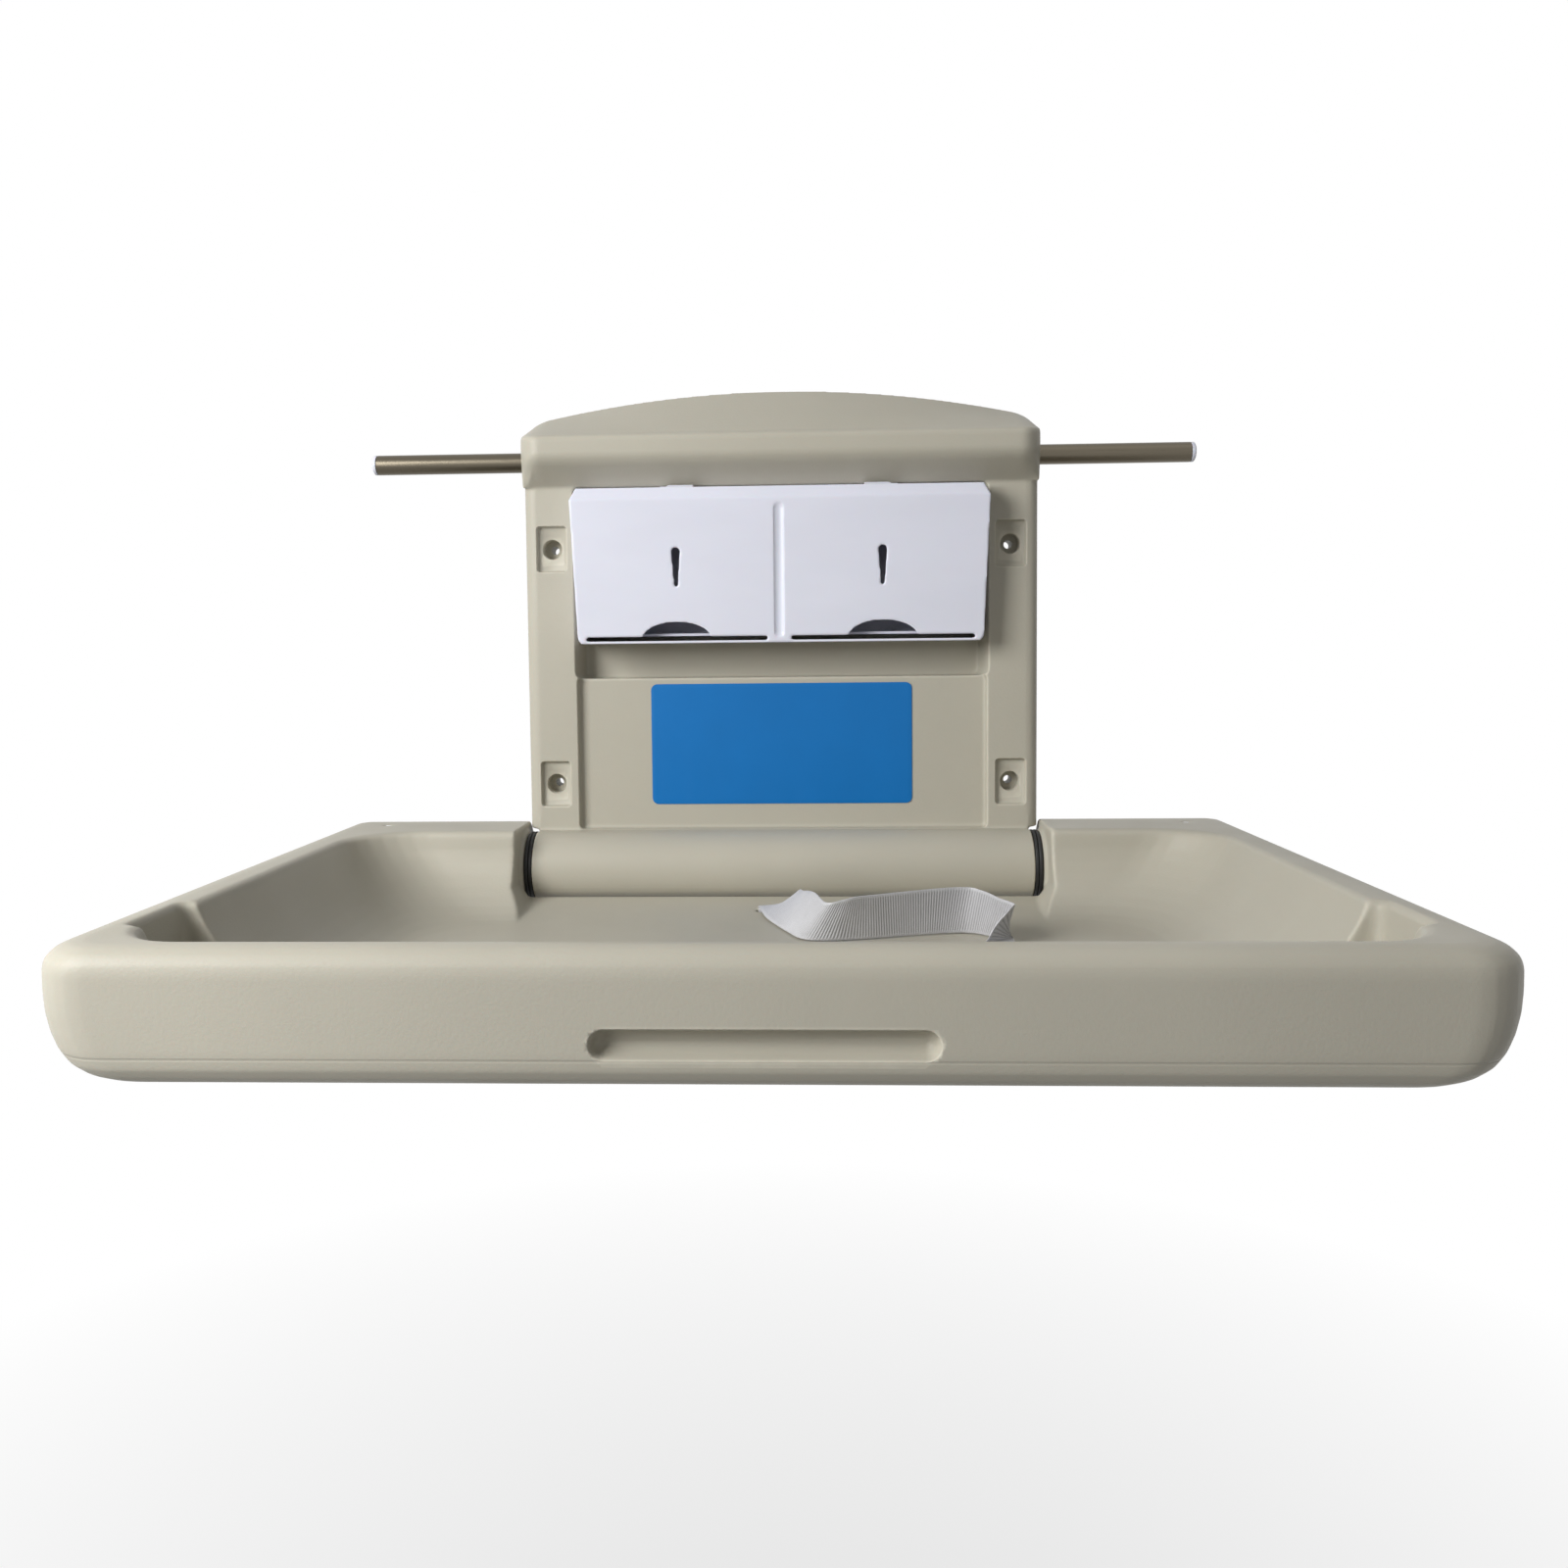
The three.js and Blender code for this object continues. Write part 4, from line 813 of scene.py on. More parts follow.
class MetalSettings(bpy.types.PropertyGroup):
    """Rod, shaft, screws, washers and bushes."""

    # The steel's colour is darkened far below bare steel: a painted reflection of a dark room.
    steel_dark_reflection_colour: FloatVectorProperty(
        name="Steel",
        description="Colour of the brushed tube",
        subtype="COLOR",
        default=(0.13, 0.113, 0.085),
    )
    zinc_colour: FloatVectorProperty(
        name="Zinc", description="Colour of the plated screws", subtype="COLOR", default=(0.62, 0.63, 0.64)
    )
    washer_colour: FloatVectorProperty(
        name="Washer", description="Colour of the washers", subtype="COLOR", default=(0.008, 0.008, 0.008)
    )
    nylon_colour: FloatVectorProperty(
        name="Nylon", description="Colour of the bushes", subtype="COLOR", default=(0.8, 0.77, 0.68)
    )
    edge: FloatProperty(
        name="Edge break",
        description="Chamfer on turned edges",
        subtype="DISTANCE",
        default=0.0004,
        precision=4,
    )
    washer_edge: FloatProperty(
        name="Washer edge",
        description="Rounding of the washers' rims",
        subtype="DISTANCE",
        default=0.0009,
        precision=4,
    )


class StrapSettings(bpy.types.PropertyGroup):
    """The webbing strap."""

    colour: FloatVectorProperty(
        name="Colour", description="Colour of the webbing", subtype="COLOR", default=(0.52, 0.52, 0.54)
    )
    width: FloatProperty(
        name="Width",
        description="Width of the webbing",
        subtype="DISTANCE",
        default=0.040,
    )
    thickness: FloatProperty(
        name="Thickness",
        description="Thickness at the ribs",
        subtype="DISTANCE",
        default=0.0016,
        precision=4,
    )
    rib_pitch: FloatProperty(
        name="Rib pitch",
        description="Distance between ribs",
        subtype="DISTANCE",
        default=0.0022,
        precision=4,
    )
    rib_depth: FloatProperty(
        name="Rib depth", description="Height of a rib", subtype="DISTANCE", default=0.00045, precision=5
    )
    selvedge: FloatProperty(
        name="Selvedge",
        description="Width of the plain edges",
        subtype="DISTANCE",
        default=0.0016,
        precision=4,
    )


class LabelSettings(bpy.types.PropertyGroup):
    """The bare blue label."""

    colour: FloatVectorProperty(
        name="Colour", description="Colour of the film", subtype="COLOR", default=(0.004, 0.155, 0.46)
    )
    corner: FloatProperty(name="Corner", description="Corner radius", subtype="DISTANCE", default=0.006)
    ripple: FloatProperty(
        name="Ripple",
        description="Height of the film's ripples",
        subtype="DISTANCE",
        default=0.0002,
        precision=4,
    )


class StageSettings(bpy.types.PropertyGroup):
    """Floor, lamps and camera."""

    floor_rise: FloatProperty(
        name="Floor",
        description="Height of the floor against the hinge axis",
        subtype="DISTANCE",
        default=-0.85,
    )
    floor_radius: FloatProperty(
        name="Floor radius", description="Where the floor has faded out", subtype="DISTANCE", default=2.6
    )
    floor_colour: FloatVectorProperty(
        name="Floor colour", description="Colour of the floor", subtype="COLOR", default=(0.42, 0.42, 0.42)
    )
    room_light: FloatProperty(name="Room light", description="Even light from all round", default=0.21)
    key_power: FloatProperty(
        name="Key lamp",
        description="Lamp at left front",
        subtype="POWER",
        default=35.0,
    )
    fill_power: FloatProperty(
        name="Fill lamp",
        description="Lamp at right front",
        subtype="POWER",
        default=1.0,
    )
    top_power: FloatProperty(name="Top lamp", description="Lamp above right", subtype="POWER", default=2.2)
    camera_place: FloatVectorProperty(
        name="Camera",
        description="Where the camera stands",
        subtype="TRANSLATION",
        default=(0.02684, -1.26659, 0.20945),
    )
    camera_yaw: FloatProperty(name="Yaw", description="Turn to the left", subtype="ANGLE", default=0.0439)
    camera_pitch: FloatProperty(name="Pitch", description="Tilt down", subtype="ANGLE", default=0.0609)
    camera_roll: FloatProperty(name="Roll", description="Lean", subtype="ANGLE", default=-0.0105)
    camera_lens: FloatProperty(name="Lens", description="Focal length on a 36 mm sensor", default=29.5056)
    camera_shift: FloatVectorProperty(
        name="Shift", description="Shift of the picture", size=2, default=(0.0199, -0.0384)
    )


class StationSettings(bpy.types.PropertyGroup):
    """All settings of the station."""

    shell: PointerProperty(type=ShellSettings)
    dispenser: PointerProperty(type=DispenserSettings)
    metal: PointerProperty(type=MetalSettings)
    strap: PointerProperty(type=StrapSettings)
    label: PointerProperty(type=LabelSettings)
    stage: PointerProperty(type=StageSettings)


# Operators


class BuildTray(bpy.types.Operator):
    """Skins the tray's two mouldings as one hollow-walled shell"""

    bl_idname = "changing_station.build_tray"
    bl_label = "Tray shell"

    def execute(self, context):
        settings = context.scene.changing_station.shell
        bm = bmesh.new()
        add_node(bm, "tray_basin")
        add_node(bm, "tray_underside")
        for middle, size in TRAY_PLUGS:
            add_block(bm, middle, size)
        tray = moulded_skin("tray_shell", bm, settings.tray_voxel, settings.tray_rounds)
        cutter = bmesh.new()
        add_scoop(cutter, (0, TRAY_FRONT, GRIP_RISE), *GRIP_HALF, GRIP_CORNER, GRIP_STEPS)
        for x, y in STRAP_SLOTS:
            add_block(cutter, (x, y, STRAP_SLOT_RISE), STRAP_SLOT_SIZE)
        carve(tray, cutter)
        shade(tray, SKIN_ANGLE)
        mark_outside(tray)
        mark_edges(tray)
        material = shell_finish(settings, "Tray polyethylene", seam=True)
        set_on_body(tray, TRAY_BODY, "shell_plastic", material, "tray_basin", "tray_underside")
        return {"FINISHED"}


def mark_outside(tray):
    """Marks the tray's outer sides, where its moulding line shows."""
    outside = tray.data.attributes.new("outside", "FLOAT", "POINT")
    values = []
    for vert in tray.data.vertices:
        beside = abs(vert.co.x) > DISH_HALF + SEAM_CLEAR[0]
        before = vert.co.y < DISH_FRONT - SEAM_CLEAR[1]
        values.append(1.0 if beside or before else 0.0)
    outside.data.foreach_set("value", values)


class BuildPanel(bpy.types.Operator):
    """Skins the back panel with its header, recesses and hinge barrel"""

    bl_idname = "changing_station.build_panel"
    bl_label = "Back panel"

    def execute(self, context):
        settings = context.scene.changing_station.shell
        bm = bmesh.new()
        add_node(bm, "panel_shell")
        add_node(bm, "panel_back_plate", shift=PLATE_SHIFT)
        add_loft(bm, header_rings())
        for middle, size in PANEL_PLUGS:
            add_block(bm, middle, size)
        panel = moulded_skin("panel_skin", bm, settings.panel_voxel, settings.panel_rounds)
        pockets = bmesh.new()
        holes = bmesh.new()
        for x, z in WALL_SCREWS:
            add_scoop(pockets, (x, PANEL_FACE, z), *POCKET_HALF, POCKET_CORNER, POCKET_STEPS)
            start = (x, PANEL_FACE + WALL_HOLE_START, z)
            add_turned(holes, WALL_HOLE, along((0, 1, 0), start), segments=48)
        add_turned(holes, BARREL_BORE, along((1, 0, 0), (0, -AXIS_OUT, 0)))
        carve(panel, pockets)
        carve(panel, holes)
        shade(panel, SKIN_ANGLE)
        mark_edges(panel)
        set_on_body(panel, WALL_BODY, "shell_plastic", shell_finish(settings), "panel_shell")
        plate = eased_copy("panel_back_plate", PLATE_EDGE)
        set_on_body(plate, WALL_BODY, "plate_plastic", plate_finish(settings), "panel_back_plate")
        return {"FINISHED"}


def header_rings():
    """The header's side profiles from end to end, closer together towards its rounded ends."""
    turns = [math.pi * (step / HEADER_SLICES - 0.5) for step in range(HEADER_SLICES + 1)]
    return [header_profile(PANEL_HALF * math.sin(turn)) for turn in turns]


def header_profile(x):
    """The header's side profile at x: underside, rounded nose and the slope up to the arch."""
    turn = max(0.0, 1 + (abs(x) - PANEL_HALF) / HEADER_END[0])
    ease = math.sqrt(max(0.0, 1 - turn * turn))
    nose = PANEL_FACE + (NOSE - PANEL_FACE) * ease
    rise = NOSE_TOP - NOSE_FOOT
    behind = nose + NOSE_BACK * rise * ease
    crown = ARCH_TOP + HEADER_PROUD - ARCH_DROP * (x / PANEL_HALF) ** 2 - HEADER_END[1] * (1 - ease)
    top = NOSE_TOP + HEADER_PROUD
    chin = [(y, NOSE_FOOT + share * rise) for y, share in zip((behind, nose, nose), CHIN_BEND)]
    brow = [(y, top + share * rise) for y, share in zip((nose, nose, behind), BROW_BEND)]
    ceiling = [(PANEL_REAR, RECESS_TOP + CEILING_LIFT), (PANEL_FACE, RECESS_TOP)]
    outline = [*ceiling, *bend(chin), *bend(brow), (PANEL_REAR, crown)]
    return [Vector((x, y, z)) for y, z in outline]


def bend(corner, steps=8):
    """Points along the curve from the first to the last of three points, pulled towards the middle one."""
    start, pull, end = (Vector(point) for point in corner)
    shares = [step / steps for step in range(steps + 1)]
    return [start * (1 - t) ** 2 + pull * (2 * t * (1 - t)) + end * t**2 for t in shares]


class BuildDispenser(bpy.types.Operator):
    """Finishes the liner dispenser's cover and back"""

    bl_idname = "changing_station.build_dispenser"
    bl_label = "Liner dispenser"

    def execute(self, context):
        settings = context.scene.changing_station.dispenser
        material = white_finish(settings)
        bm = bmesh.new()
        add_node(bm, "dispenser_cover")
        wide, thick = FOOT_PLATE_SIZE
        middle = (0, (COVER_FACE + COVER_REAR) / 2, COVER_FOOT + FOOT_PLATE_RISE)
        add_block(bm, middle, (wide, COVER_REAR - COVER_FACE, thick))
        cover = moulded_skin("dispenser_front", bm, settings.voxel, settings.rounds)
        cutter = bmesh.new()
        add_groove(cutter, settings)
        for x, width in TOP_CUTS:
            add_block(cutter, (x, *TOP_CUT_PLACE), (width, *TOP_CUT_SIZE))
        carve(cover, cutter)
        shade(cover, SKIN_ANGLE)
        set_on_body(cover, WALL_BODY, "white_plastic", material, "dispenser_cover")
        back = eased_copy("dispenser_back", DISPENSER_EDGE)
        set_on_body(back, WALL_BODY, "white_plastic", material, "dispenser_back")
        return {"FINISHED"}


def add_groove(bm, settings):
    """The upright groove down the middle of the cover, which follows the lean of its face."""
    half, depth = settings.groove_half, settings.groove_depth
    middle = (COVER_SHOULDER + COVER_FOOT) / 2
    half_high = (COVER_SHOULDER - COVER_FOOT) / 2
    slope = COVER_LEAN / (COVER_SHOULDER - COVER_FOOT)
    # Depth behind the face and half width there, from the rounded mouth to the floor
    section = ((-0.003, half + 0.0006), (0.0, half + 0.0004), (0.0005, half), (depth, GROOVE_FOOT * half))
    rings = []
    for out, half_wide in section:
        end = GROOVE_END + half - half_wide
        outline = rounded_outline(half_wide, half_high - end, GROOVE_ROUND * half_wide)
        ring = []
        for u, v in outline:
            face = COVER_FACE + slope * (middle + v - COVER_FOOT)
            ring.append(Vector((u, face + out, middle + v)))
        rings.append(ring)
    add_loft(bm, rings)


class BuildRod(bpy.types.Operator):
    """Turns the brushed latch rod and its white end caps"""

    bl_idname = "changing_station.build_rod"
    bl_label = "Latch rod"

    def execute(self, context):
        settings = context.scene.changing_station
        edge = settings.metal.edge
        low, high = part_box("latch_rod")
        radius = (high.z - low.z) / 2
        middle = (low + high) / 2
        half = (high.x - low.x) / 2
        bm = bmesh.new()
        chamfer = radius - edge
        profile = [(chamfer, -half), (radius, edge - half), (radius, half - edge), (chamfer, half)]
        add_turned(bm, profile, along((1, 0, 0), middle))
        rod = new_piece("brushed_rod", bm)
        shade(rod, EDGE_ANGLE)
        set_on_body(rod, WALL_BODY, "steel_tube", brushed_finish(settings.metal), "latch_rod")
        white = white_finish(settings.dispenser)
        for name in ("rod_cap_left", "rod_cap_right"):
            cap = eased_copy(name, edge)
            set_on_body(cap, WALL_BODY, "white_plastic", white, name)
        return {"FINISHED"}


class BuildHinge(bpy.types.Operator):
    """Turns the hinge's washers and finishes its shaft and bushes"""

    bl_idname = "changing_station.build_hinge"
    bl_label = "Hinge"

    def execute(self, context):
        settings = context.scene.changing_station.metal
        black = washer_finish(settings)
        nylon = nylon_finish(settings)
        zinc = zinc_finish(settings)
        for side in ("left", "right"):
            for name, body in (("inner_washer", WALL_BODY), ("outer_washer", TRAY_BODY)):
                node = f"{name}_{side}"
                washer = eased_copy(node, settings.washer_edge)
                set_on_body(washer, body, "black_washer", black, node)
            bush = eased_copy(f"hinge_bush_{side}", settings.edge)
            set_on_body(bush, WALL_BODY, "nylon_bush", nylon, f"hinge_bush_{side}")
        shaft = eased_copy("hinge_shaft", settings.edge)
        set_on_body(shaft, TRAY_BODY, "zinc_shaft", zinc, "hinge_shaft")
        return {"FINISHED"}


def strap_point(x, out, rise):
    """A point of the strap's route in the frame, in metres."""
    return Vector((x, out, rise)) / 1000 + Vector((0, -AXIS_OUT, FLOOR_RISE))


class BuildStrap(bpy.types.Operator):
    """Weaves the ribbed webbing strap that lies across the dish"""

    bl_idname = "changing_station.build_strap"
    bl_label = "Safety strap"

    def execute(self, context):
        settings = context.scene.changing_station.strap
        lower = catmull_rom([strap_point(*ends[0]) for ends in STRAP_ROUTE], STRAP_SAMPLES)
        upper = catmull_rom([strap_point(*ends[1]) for ends in STRAP_ROUTE], STRAP_SAMPLES)
        middles = [(a + b) / 2 for a, b in zip(lower, upper)]
        length = sum((b - a).length for a, b in zip(middles, middles[1:]))
        rows = even_rows(lower, upper, middles, settings.rib_pitch / ROWS_PER_RIB, length)
        strap = webbing_mesh("webbing_strap", rows, settings)
        shade(strap, WEBBING_ANGLE)
        material = webbing_finish(settings)
        set_on_body(strap, TRAY_BODY, "strap_webbing", material, "safety_strap")
        zinc = zinc_finish(context.scene.changing_station.metal)
        for node in ("strap_pin_rear", "strap_pin_front"):
            pin = eased_copy(node, context.scene.changing_station.metal.edge)
            set_on_body(pin, TRAY_BODY, "zinc_screw", zinc, node)
        return {"FINISHED"}


def even_rows(lower, upper, middles, step, length):
    """Places along the strap a step apart: distance run, lower edge point and direction across."""
    rows = []
    run = 0.0
    target = 0.0
    for index in range(len(middles) - 1):
        span = (middles[index + 1] - middles[index]).length
        while target <= run + span and target <= length:
            t = (target - run) / max(span, WELD)
            edge = lower[index].lerp(lower[index + 1], t)
            other = upper[index].lerp(upper[index + 1], t)
            rows.append((target, edge, (other - edge).normalized()))
            target += step
        run += span
    return rows


def middle_of(row, width):
    """The middle of the strap at one of its rows."""
    _, edge, across = row
    return edge + across * (width / 2)


def webbing_mesh(name, rows, settings):
    """A closed ribbon with ribs across both faces and a plain bead along both edges."""
    bm = bmesh.new()
    rib_of = []
    faces = ([], [])
    for index, (run, edge, across) in enumerate(rows):
        before = middle_of(rows[max(index - 1, 0)], settings.width)
        after = middle_of(rows[min(index + 1, len(rows) - 1)], settings.width)
        facing = across.cross(after - before).normalized()
        wave = 0.5 + 0.5 * math.cos(2 * math.pi * run / settings.rib_pitch)
        for sign, grid in zip((1, -1), faces):
            line = []
            for column in range(WEBBING_COLUMNS):
                share = column / (WEBBING_COLUMNS - 1)
                inside = min(share, 1 - share) * settings.width
                ribbed = min(1.0, max(0.0, inside / settings.selvedge - 0.5))
                rib = 1 - ribbed * (1 - wave)
                half = settings.thickness / 2 - settings.rib_depth * (1 - rib)
                rounded = min(1.0, EDGE_THINNING + inside / settings.thickness)
                point = edge + across * (share * settings.width) + facing * (sign * half * rounded)
                line.append(bm.verts.new(point))
                rib_of.append(rib)
            grid.append(line)
    stitch(bm, *faces)
    piece = new_piece(name, bm)
    piece.data.attributes.new("rib", "FLOAT", "POINT").data.foreach_set("value", rib_of)
    return piece


class BuildLabel(bpy.types.Operator):
    """Lays the bare blue label in its recess"""

    bl_idname = "changing_station.build_label"
    bl_label = "Label"

    def execute(self, context):
        settings = context.scene.changing_station.label
        low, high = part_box("label_plate")
        label = label_mesh("label_film", low, high, settings)
        shade(label, SKIN_ANGLE)
        set_on_body(label, WALL_BODY, "label_film", label_finish(settings), "label_plate")
        return {"FINISHED"}


def label_mesh(name, low, high, settings):
    """A thin plate with rounded corners whose film ripples a little near its upper left corner."""
    columns, lines = LABEL_GRID
    edge_width, edge_fall = LABEL_EDGE
    corner = settings.corner
    half = Vector(((high.x - low.x) / 2, 0, (high.z - low.z) / 2))
    middle = (low + high) / 2
    bm = bmesh.new()
    sheets = []
    for front in (True, False):
        grid = []
        for row in range(lines):
            line = []
            for column in range(columns):
                x = half.x * (2 * column / (columns - 1) - 1)
                z = half.z * (2 * row / (lines - 1) - 1)
                over_x, over_z = abs(x) - (half.x - corner), abs(z) - (half.z - corner)
                if over_x > 0 and over_z > 0 and math.hypot(over_x, over_z) > corner:
                    pull = corner / math.hypot(over_x, over_z)
                    x = math.copysign(half.x - corner + over_x * pull, x)
                    z = math.copysign(half.z - corner + over_z * pull, z)
                y = high.y
                if front:
                    edge = min(half.x - abs(x), half.z - abs(z))
                    off_x, off_z = x - RIPPLE_AT[0] * half.x, z - RIPPLE_AT[1] * half.z
                    near = math.exp(-(off_x**2 + off_z**2) / RIPPLE_SPREAD)
                    wave = 0.5 + 0.5 * math.sin(RIPPLE_WAVES[0] * x + RIPPLE_WAVES[1] * z)
                    drop = edge_fall * max(0.0, 1 - edge / edge_width)
                    y = low.y + settings.ripple * (1 - near * wave) + drop
                line.append(bm.verts.new((middle.x + x, y, middle.z + z)))
            grid.append(line)
        sheets.append(grid)
    stitch(bm, *sheets)
    return new_piece(name, bm)


class BuildScrews(bpy.types.Operator):
    """Makes the screws with their heads' cross recesses"""

    bl_idname = "changing_station.build_screws"
    bl_label = "Screws"

    def execute(self, context):
        settings = context.scene.changing_station.metal
        zinc = zinc_finish(settings)
        for stem, count, body, facing, head_height in SCREW_SETS:
            for number in range(1, count + 1):
                make_screw(f"{stem}{number}", body, facing, head_height, zinc)
        for side in ("left", "right"):
            make_screw(f"shaft_screw_{side}", TRAY_BODY, (0, 0, 1), SHAFT_SCREW_HEAD, zinc)
        for side in ("left", "right"):
            node = f"rod_grub_screw_{side}"
            grub = eased_copy(node, settings.edge)
            set_on_body(grub, WALL_BODY, "zinc_screw", zinc, node)
        return {"FINISHED"}


def make_screw(node, body, facing, head_height, material):
    """A pan-head screw in the place of a packed one, with its head towards facing."""
    low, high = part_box(node)
    size = high - low
    axis = max(range(3), key=lambda a: abs(facing[a]))
    radius = max(size[a] for a in range(3) if a != axis) / 2
    top = (low + high) / 2
    top[axis] = high[axis] if facing[axis] > 0 else low[axis]
    bm = bmesh.new()
    screw_form(bm, radius, head_height, size[axis], along(facing, top))
    screw = new_piece(node + "_finished", bm)
    shade(screw, SCREW_ANGLE)
    set_on_body(screw, body, "zinc_screw", material, node)


def screw_form(bm, radius, head_height, length, place):
    """A domed head with a cross recess, and a shank with a point, below the origin along -Z."""
    segments, rings = 48, 14
    turns = [2 * math.pi * step / segments for step in range(segments)]
    circle = [(math.cos(turn), math.sin(turn)) for turn in turns]
    shank = 0.44 * radius
    dome = 0.35 * head_height
    shoulder = 0.92 * radius
    top = bm.verts.new(place @ Vector((0, 0, head_top(0, 0, radius, dome))))
    before = None
    for ring in range(1, rings + 1):
        distance = shoulder * ring / rings
        now = []
        for x, y in circle:
            height = head_top(distance * x, distance * y, radius, dome)
            now.append(bm.verts.new(place @ Vector((distance * x, distance * y, height))))
        join_rings(bm, before, now, top)
        before = now
    under = (
        (radius, -dome - 0.12 * head_height),
        (radius, -head_height),
        (shank, -head_height),
        (shank, shank - length),
        (0.25 * shank, -length),
    )
    for distance, height in under:
        now = [bm.verts.new(place @ Vector((distance * x, distance * y, height))) for x, y in circle]
        join_rings(bm, before, now, None)
        before = now
    bm.faces.new(before)


def head_top(x, y, radius, dome):
    """Height of a screw head's top at x, y: a dome less a cross recess with sloping walls."""
    arm, half, slope, deep = 0.5 * radius, 0.11 * radius, 0.06 * radius, 0.28 * radius
    beyond = min(max(abs(x) - arm, abs(y) - half), max(abs(y) - arm, abs(x) - half))
    inside = min(1.0, max(0.0, 0.5 - beyond / (2 * slope)))
    return -dome * (x * x + y * y) / radius**2 - deep * inside


def join_rings(bm, before, now, top):
    """Faces between two rings of points, or between the top point and the first ring."""
    count = len(now)
    for step in range(count):
        after = (step + 1) % count
        if before is None:
            bm.faces.new((top, now[step], now[after]))
        else:
            bm.faces.new((before[step], now[step], now[after], before[after]))


class BuildStage(bpy.types.Operator):
    """Sets the pale floor, the soft lamps, the white surroundings and the camera"""

    bl_idname = "changing_station.build_stage"
    bl_label = "Stage"

    def execute(self, context):
        settings = context.scene.changing_station.stage
        context.scene.view_settings.view_transform = "Standard"
        make_floor(settings)
        make_world(context.scene, settings)
        for name, power, place, size in LAMPS:
            make_lamp(name, place, size, getattr(settings, power))
        make_camera(context.scene, settings)
        return {"FINISHED"}


def make_floor(settings):
    """A pale round floor that fades into the white surroundings at its rim."""
    bm = bmesh.new()
    bmesh.ops.create_circle(bm, cap_ends=True, segments=96, radius=settings.floor_radius)
    floor = new_piece("studio_floor", bm)
    floor.location = (0, FLOOR_OUT, settings.floor_rise)
    finish = Finish("Pale floor")
    finish.set(Base_Color=(*settings.floor_colour, 1), Roughness=0.9, Specular_IOR_Level=0.1)
    nodes, links = finish.nodes, finish.links
    length = nodes.new("ShaderNodeVectorMath")
    length.operation = "LENGTH"
    links.new(finish.place, length.inputs[0])
    inner, outer = (share * settings.floor_radius for share in FLOOR_FADE)
    fade = finish.remap(length.outputs["Value"], inner, outer, FLOOR_WHITE, 1.0)
    white = nodes.new("ShaderNodeEmission")
    blend = nodes.new("ShaderNodeMixShader")
    output = nodes["Material Output"]
    links.new(finish.maths("MULTIPLY", fade, seen_directly(nodes, links)), blend.inputs["Fac"])
    links.new(finish.shader.outputs["BSDF"], blend.inputs[1])
    links.new(white.outputs["Emission"], blend.inputs[2])
    links.new(blend.outputs["Shader"], output.inputs["Surface"])
    floor.data.materials.append(finish.material)


def seen_directly(nodes, links):
    """1 for rays from the camera, mirrors and glass, and 0 for light that falls on a surface."""
    path = nodes.new("ShaderNodeLightPath")
    total = path.outputs["Is Camera Ray"]
    for name in ("Is Glossy Ray", "Is Transmission Ray"):
        either = nodes.new("ShaderNodeMath")
        either.operation = "MAXIMUM"
        links.new(total, either.inputs[0])
        links.new(path.outputs[name], either.inputs[1])
        total = either.outputs["Value"]
    return total


def make_world(scene, settings):
    """White where it is looked at, and a softer even light where it lights the station."""
    world = bpy.data.worlds.new("Studio")
    world.use_nodes = True
    scene.world = world
    nodes, links = world.node_tree.nodes, world.node_tree.links
    white = nodes["Background"]
    white.inputs["Color"].default_value = (1, 1, 1, 1)
    white.inputs["Strength"].default_value = 1.0
    soft = nodes.new("ShaderNodeBackground")
    soft.inputs["Color"].default_value = (1, 1, 1, 1)
    soft.inputs["Strength"].default_value = settings.room_light
    blend = nodes.new("ShaderNodeMixShader")
    links.new(seen_directly(nodes, links), blend.inputs["Fac"])
    links.new(soft.outputs["Background"], blend.inputs[1])
    links.new(white.outputs["Background"], blend.inputs[2])
    links.new(blend.outputs["Shader"], nodes["World Output"].inputs["Surface"])


def make_lamp(name, place, size, power):
    """A square soft lamp that points at the station."""
    light = bpy.data.lights.new(name, "AREA")
    light.energy = power
    light.size = size
    lamp = bpy.data.objects.new(name, light)
    lamp.location = place
    lamp.rotation_euler = (LAMP_AIM - Vector(place)).to_track_quat("-Z", "Y").to_euler()
    bpy.context.scene.collection.objects.link(lamp)


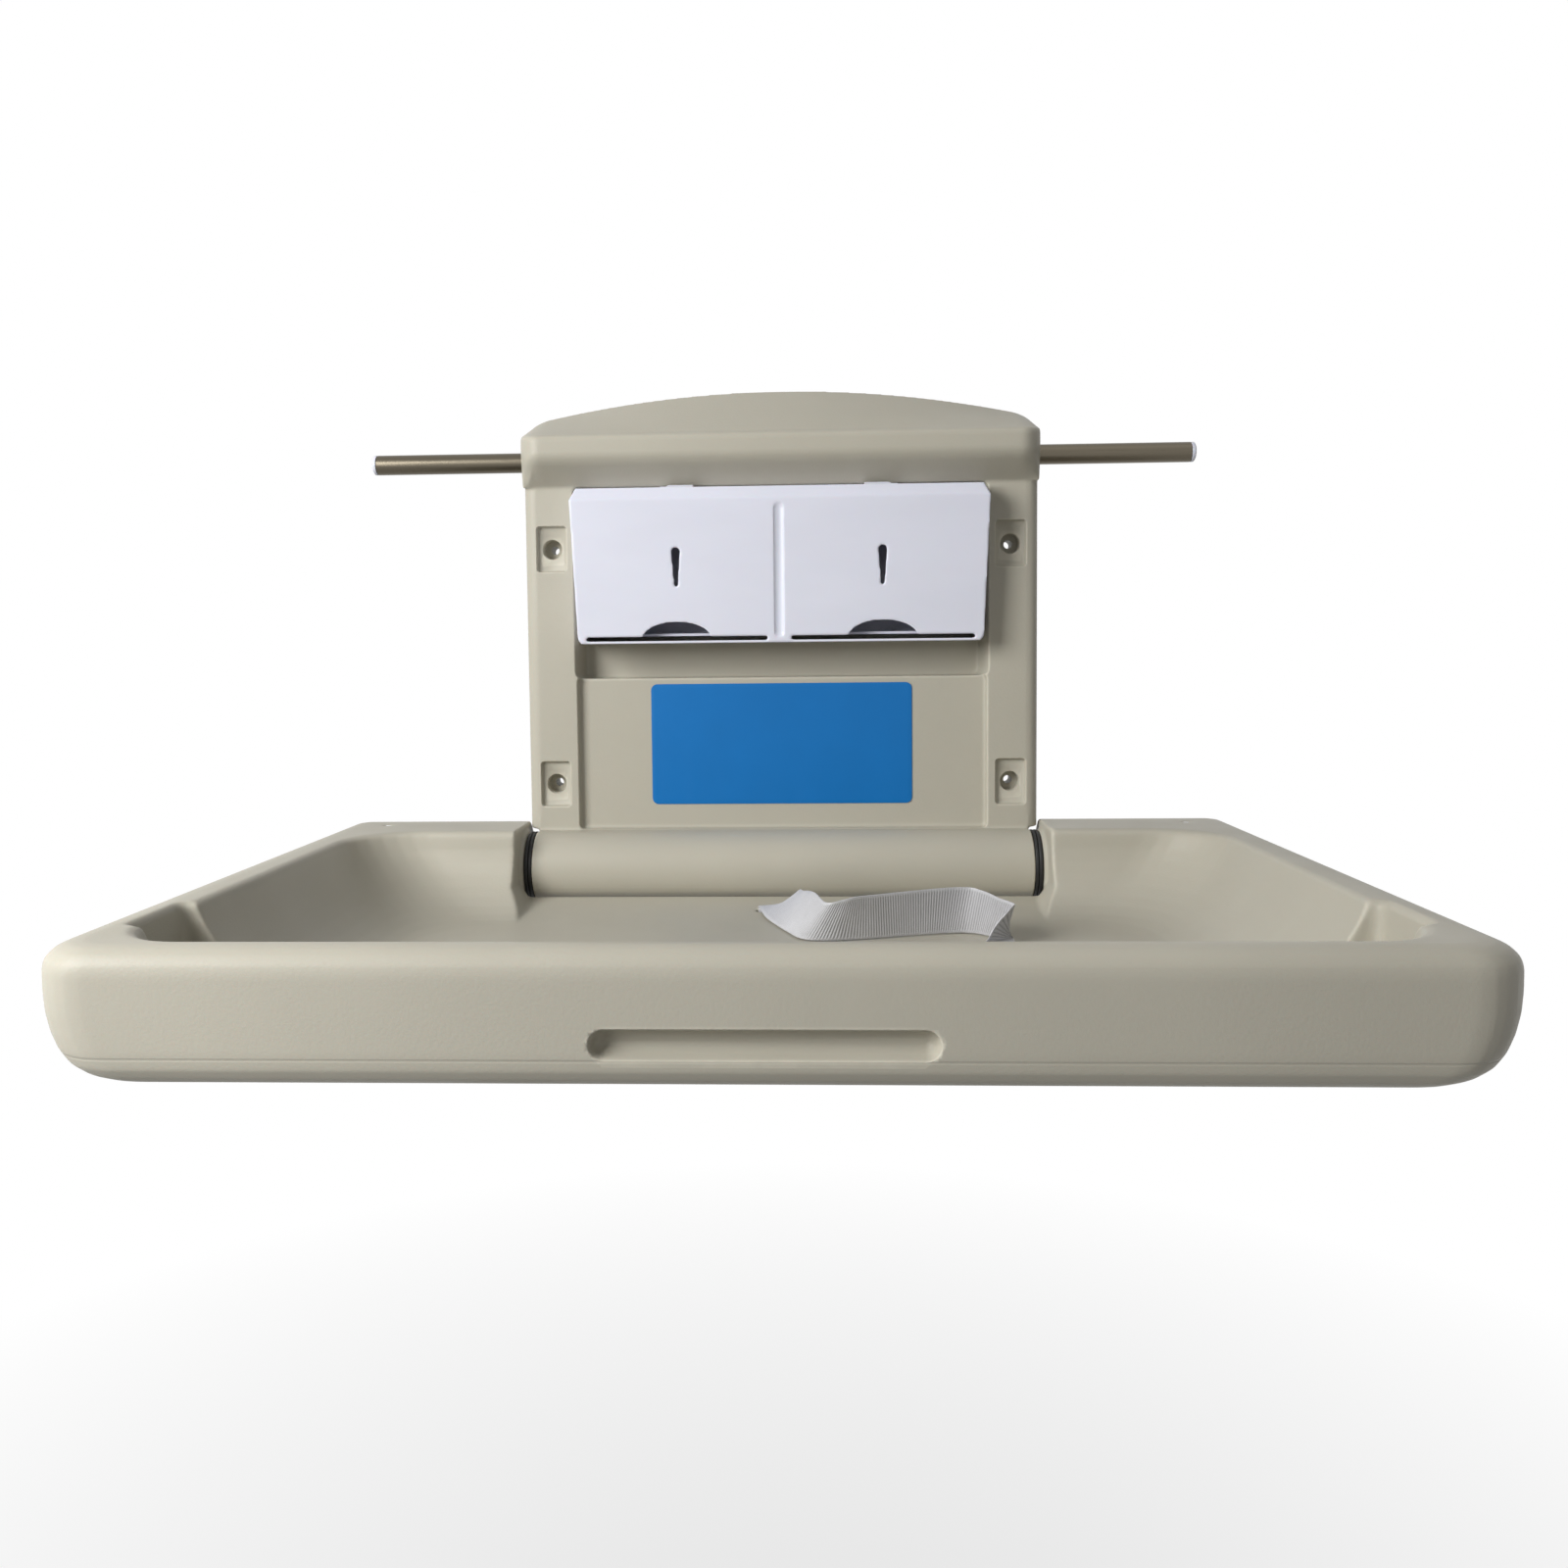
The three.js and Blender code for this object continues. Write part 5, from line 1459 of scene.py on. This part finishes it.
def make_camera(scene, settings):
    """The camera at the photograph's place, angle and lens."""
    yaw, pitch, roll = settings.camera_yaw, settings.camera_pitch, settings.camera_roll
    forward = Vector((-math.sin(yaw) * math.cos(pitch), math.cos(yaw) * math.cos(pitch), -math.sin(pitch)))
    level = Vector((math.cos(yaw), math.sin(yaw), 0))
    right = math.cos(roll) * level + math.sin(roll) * level.cross(forward)
    up = right.cross(forward)
    data = bpy.data.cameras.new("Camera")
    data.lens = settings.camera_lens
    data.sensor_width = SENSOR_WIDTH
    data.shift_x, data.shift_y = settings.camera_shift
    camera = bpy.data.objects.new("Camera", data)
    turn = Matrix((right, up, -forward)).transposed().to_4x4()
    camera.matrix_world = Matrix.Translation(settings.camera_place) @ turn
    scene.collection.objects.link(camera)
    scene.camera = camera


STEPS = (
    BuildTray,
    BuildPanel,
    BuildDispenser,
    BuildRod,
    BuildHinge,
    BuildStrap,
    BuildLabel,
    BuildScrews,
    BuildStage,
)


class StationPanel(bpy.types.Panel):
    """Lists the steps that build the station"""

    bl_idname = "VIEW3D_PT_changing_station"
    bl_label = "Baby changing station"
    bl_space_type = "VIEW_3D"
    bl_region_type = "UI"
    bl_category = "Station"

    def draw(self, context):
        for step in STEPS:
            self.layout.operator(step.bl_idname)


CLASSES = (
    ShellSettings,
    DispenserSettings,
    MetalSettings,
    StrapSettings,
    LabelSettings,
    StageSettings,
    StationSettings,
    *STEPS,
    StationPanel,
)


def register():
    """Adds the classes and the station's settings to Blender."""
    for item in CLASSES:
        bpy.utils.register_class(item)
    bpy.types.Scene.changing_station = PointerProperty(type=StationSettings)


def unregister():
    """Takes them out again."""
    del bpy.types.Scene.changing_station
    for item in reversed(CLASSES):
        bpy.utils.unregister_class(item)


def main():
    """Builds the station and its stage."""
    register()
    bpy.ops.changing_station.build_tray()
    bpy.ops.changing_station.build_panel()
    bpy.ops.changing_station.build_dispenser()
    bpy.ops.changing_station.build_rod()
    bpy.ops.changing_station.build_hinge()
    bpy.ops.changing_station.build_strap()
    bpy.ops.changing_station.build_label()
    bpy.ops.changing_station.build_screws()
    bpy.ops.changing_station.build_stage()


if __name__ == "__main__":
    main()
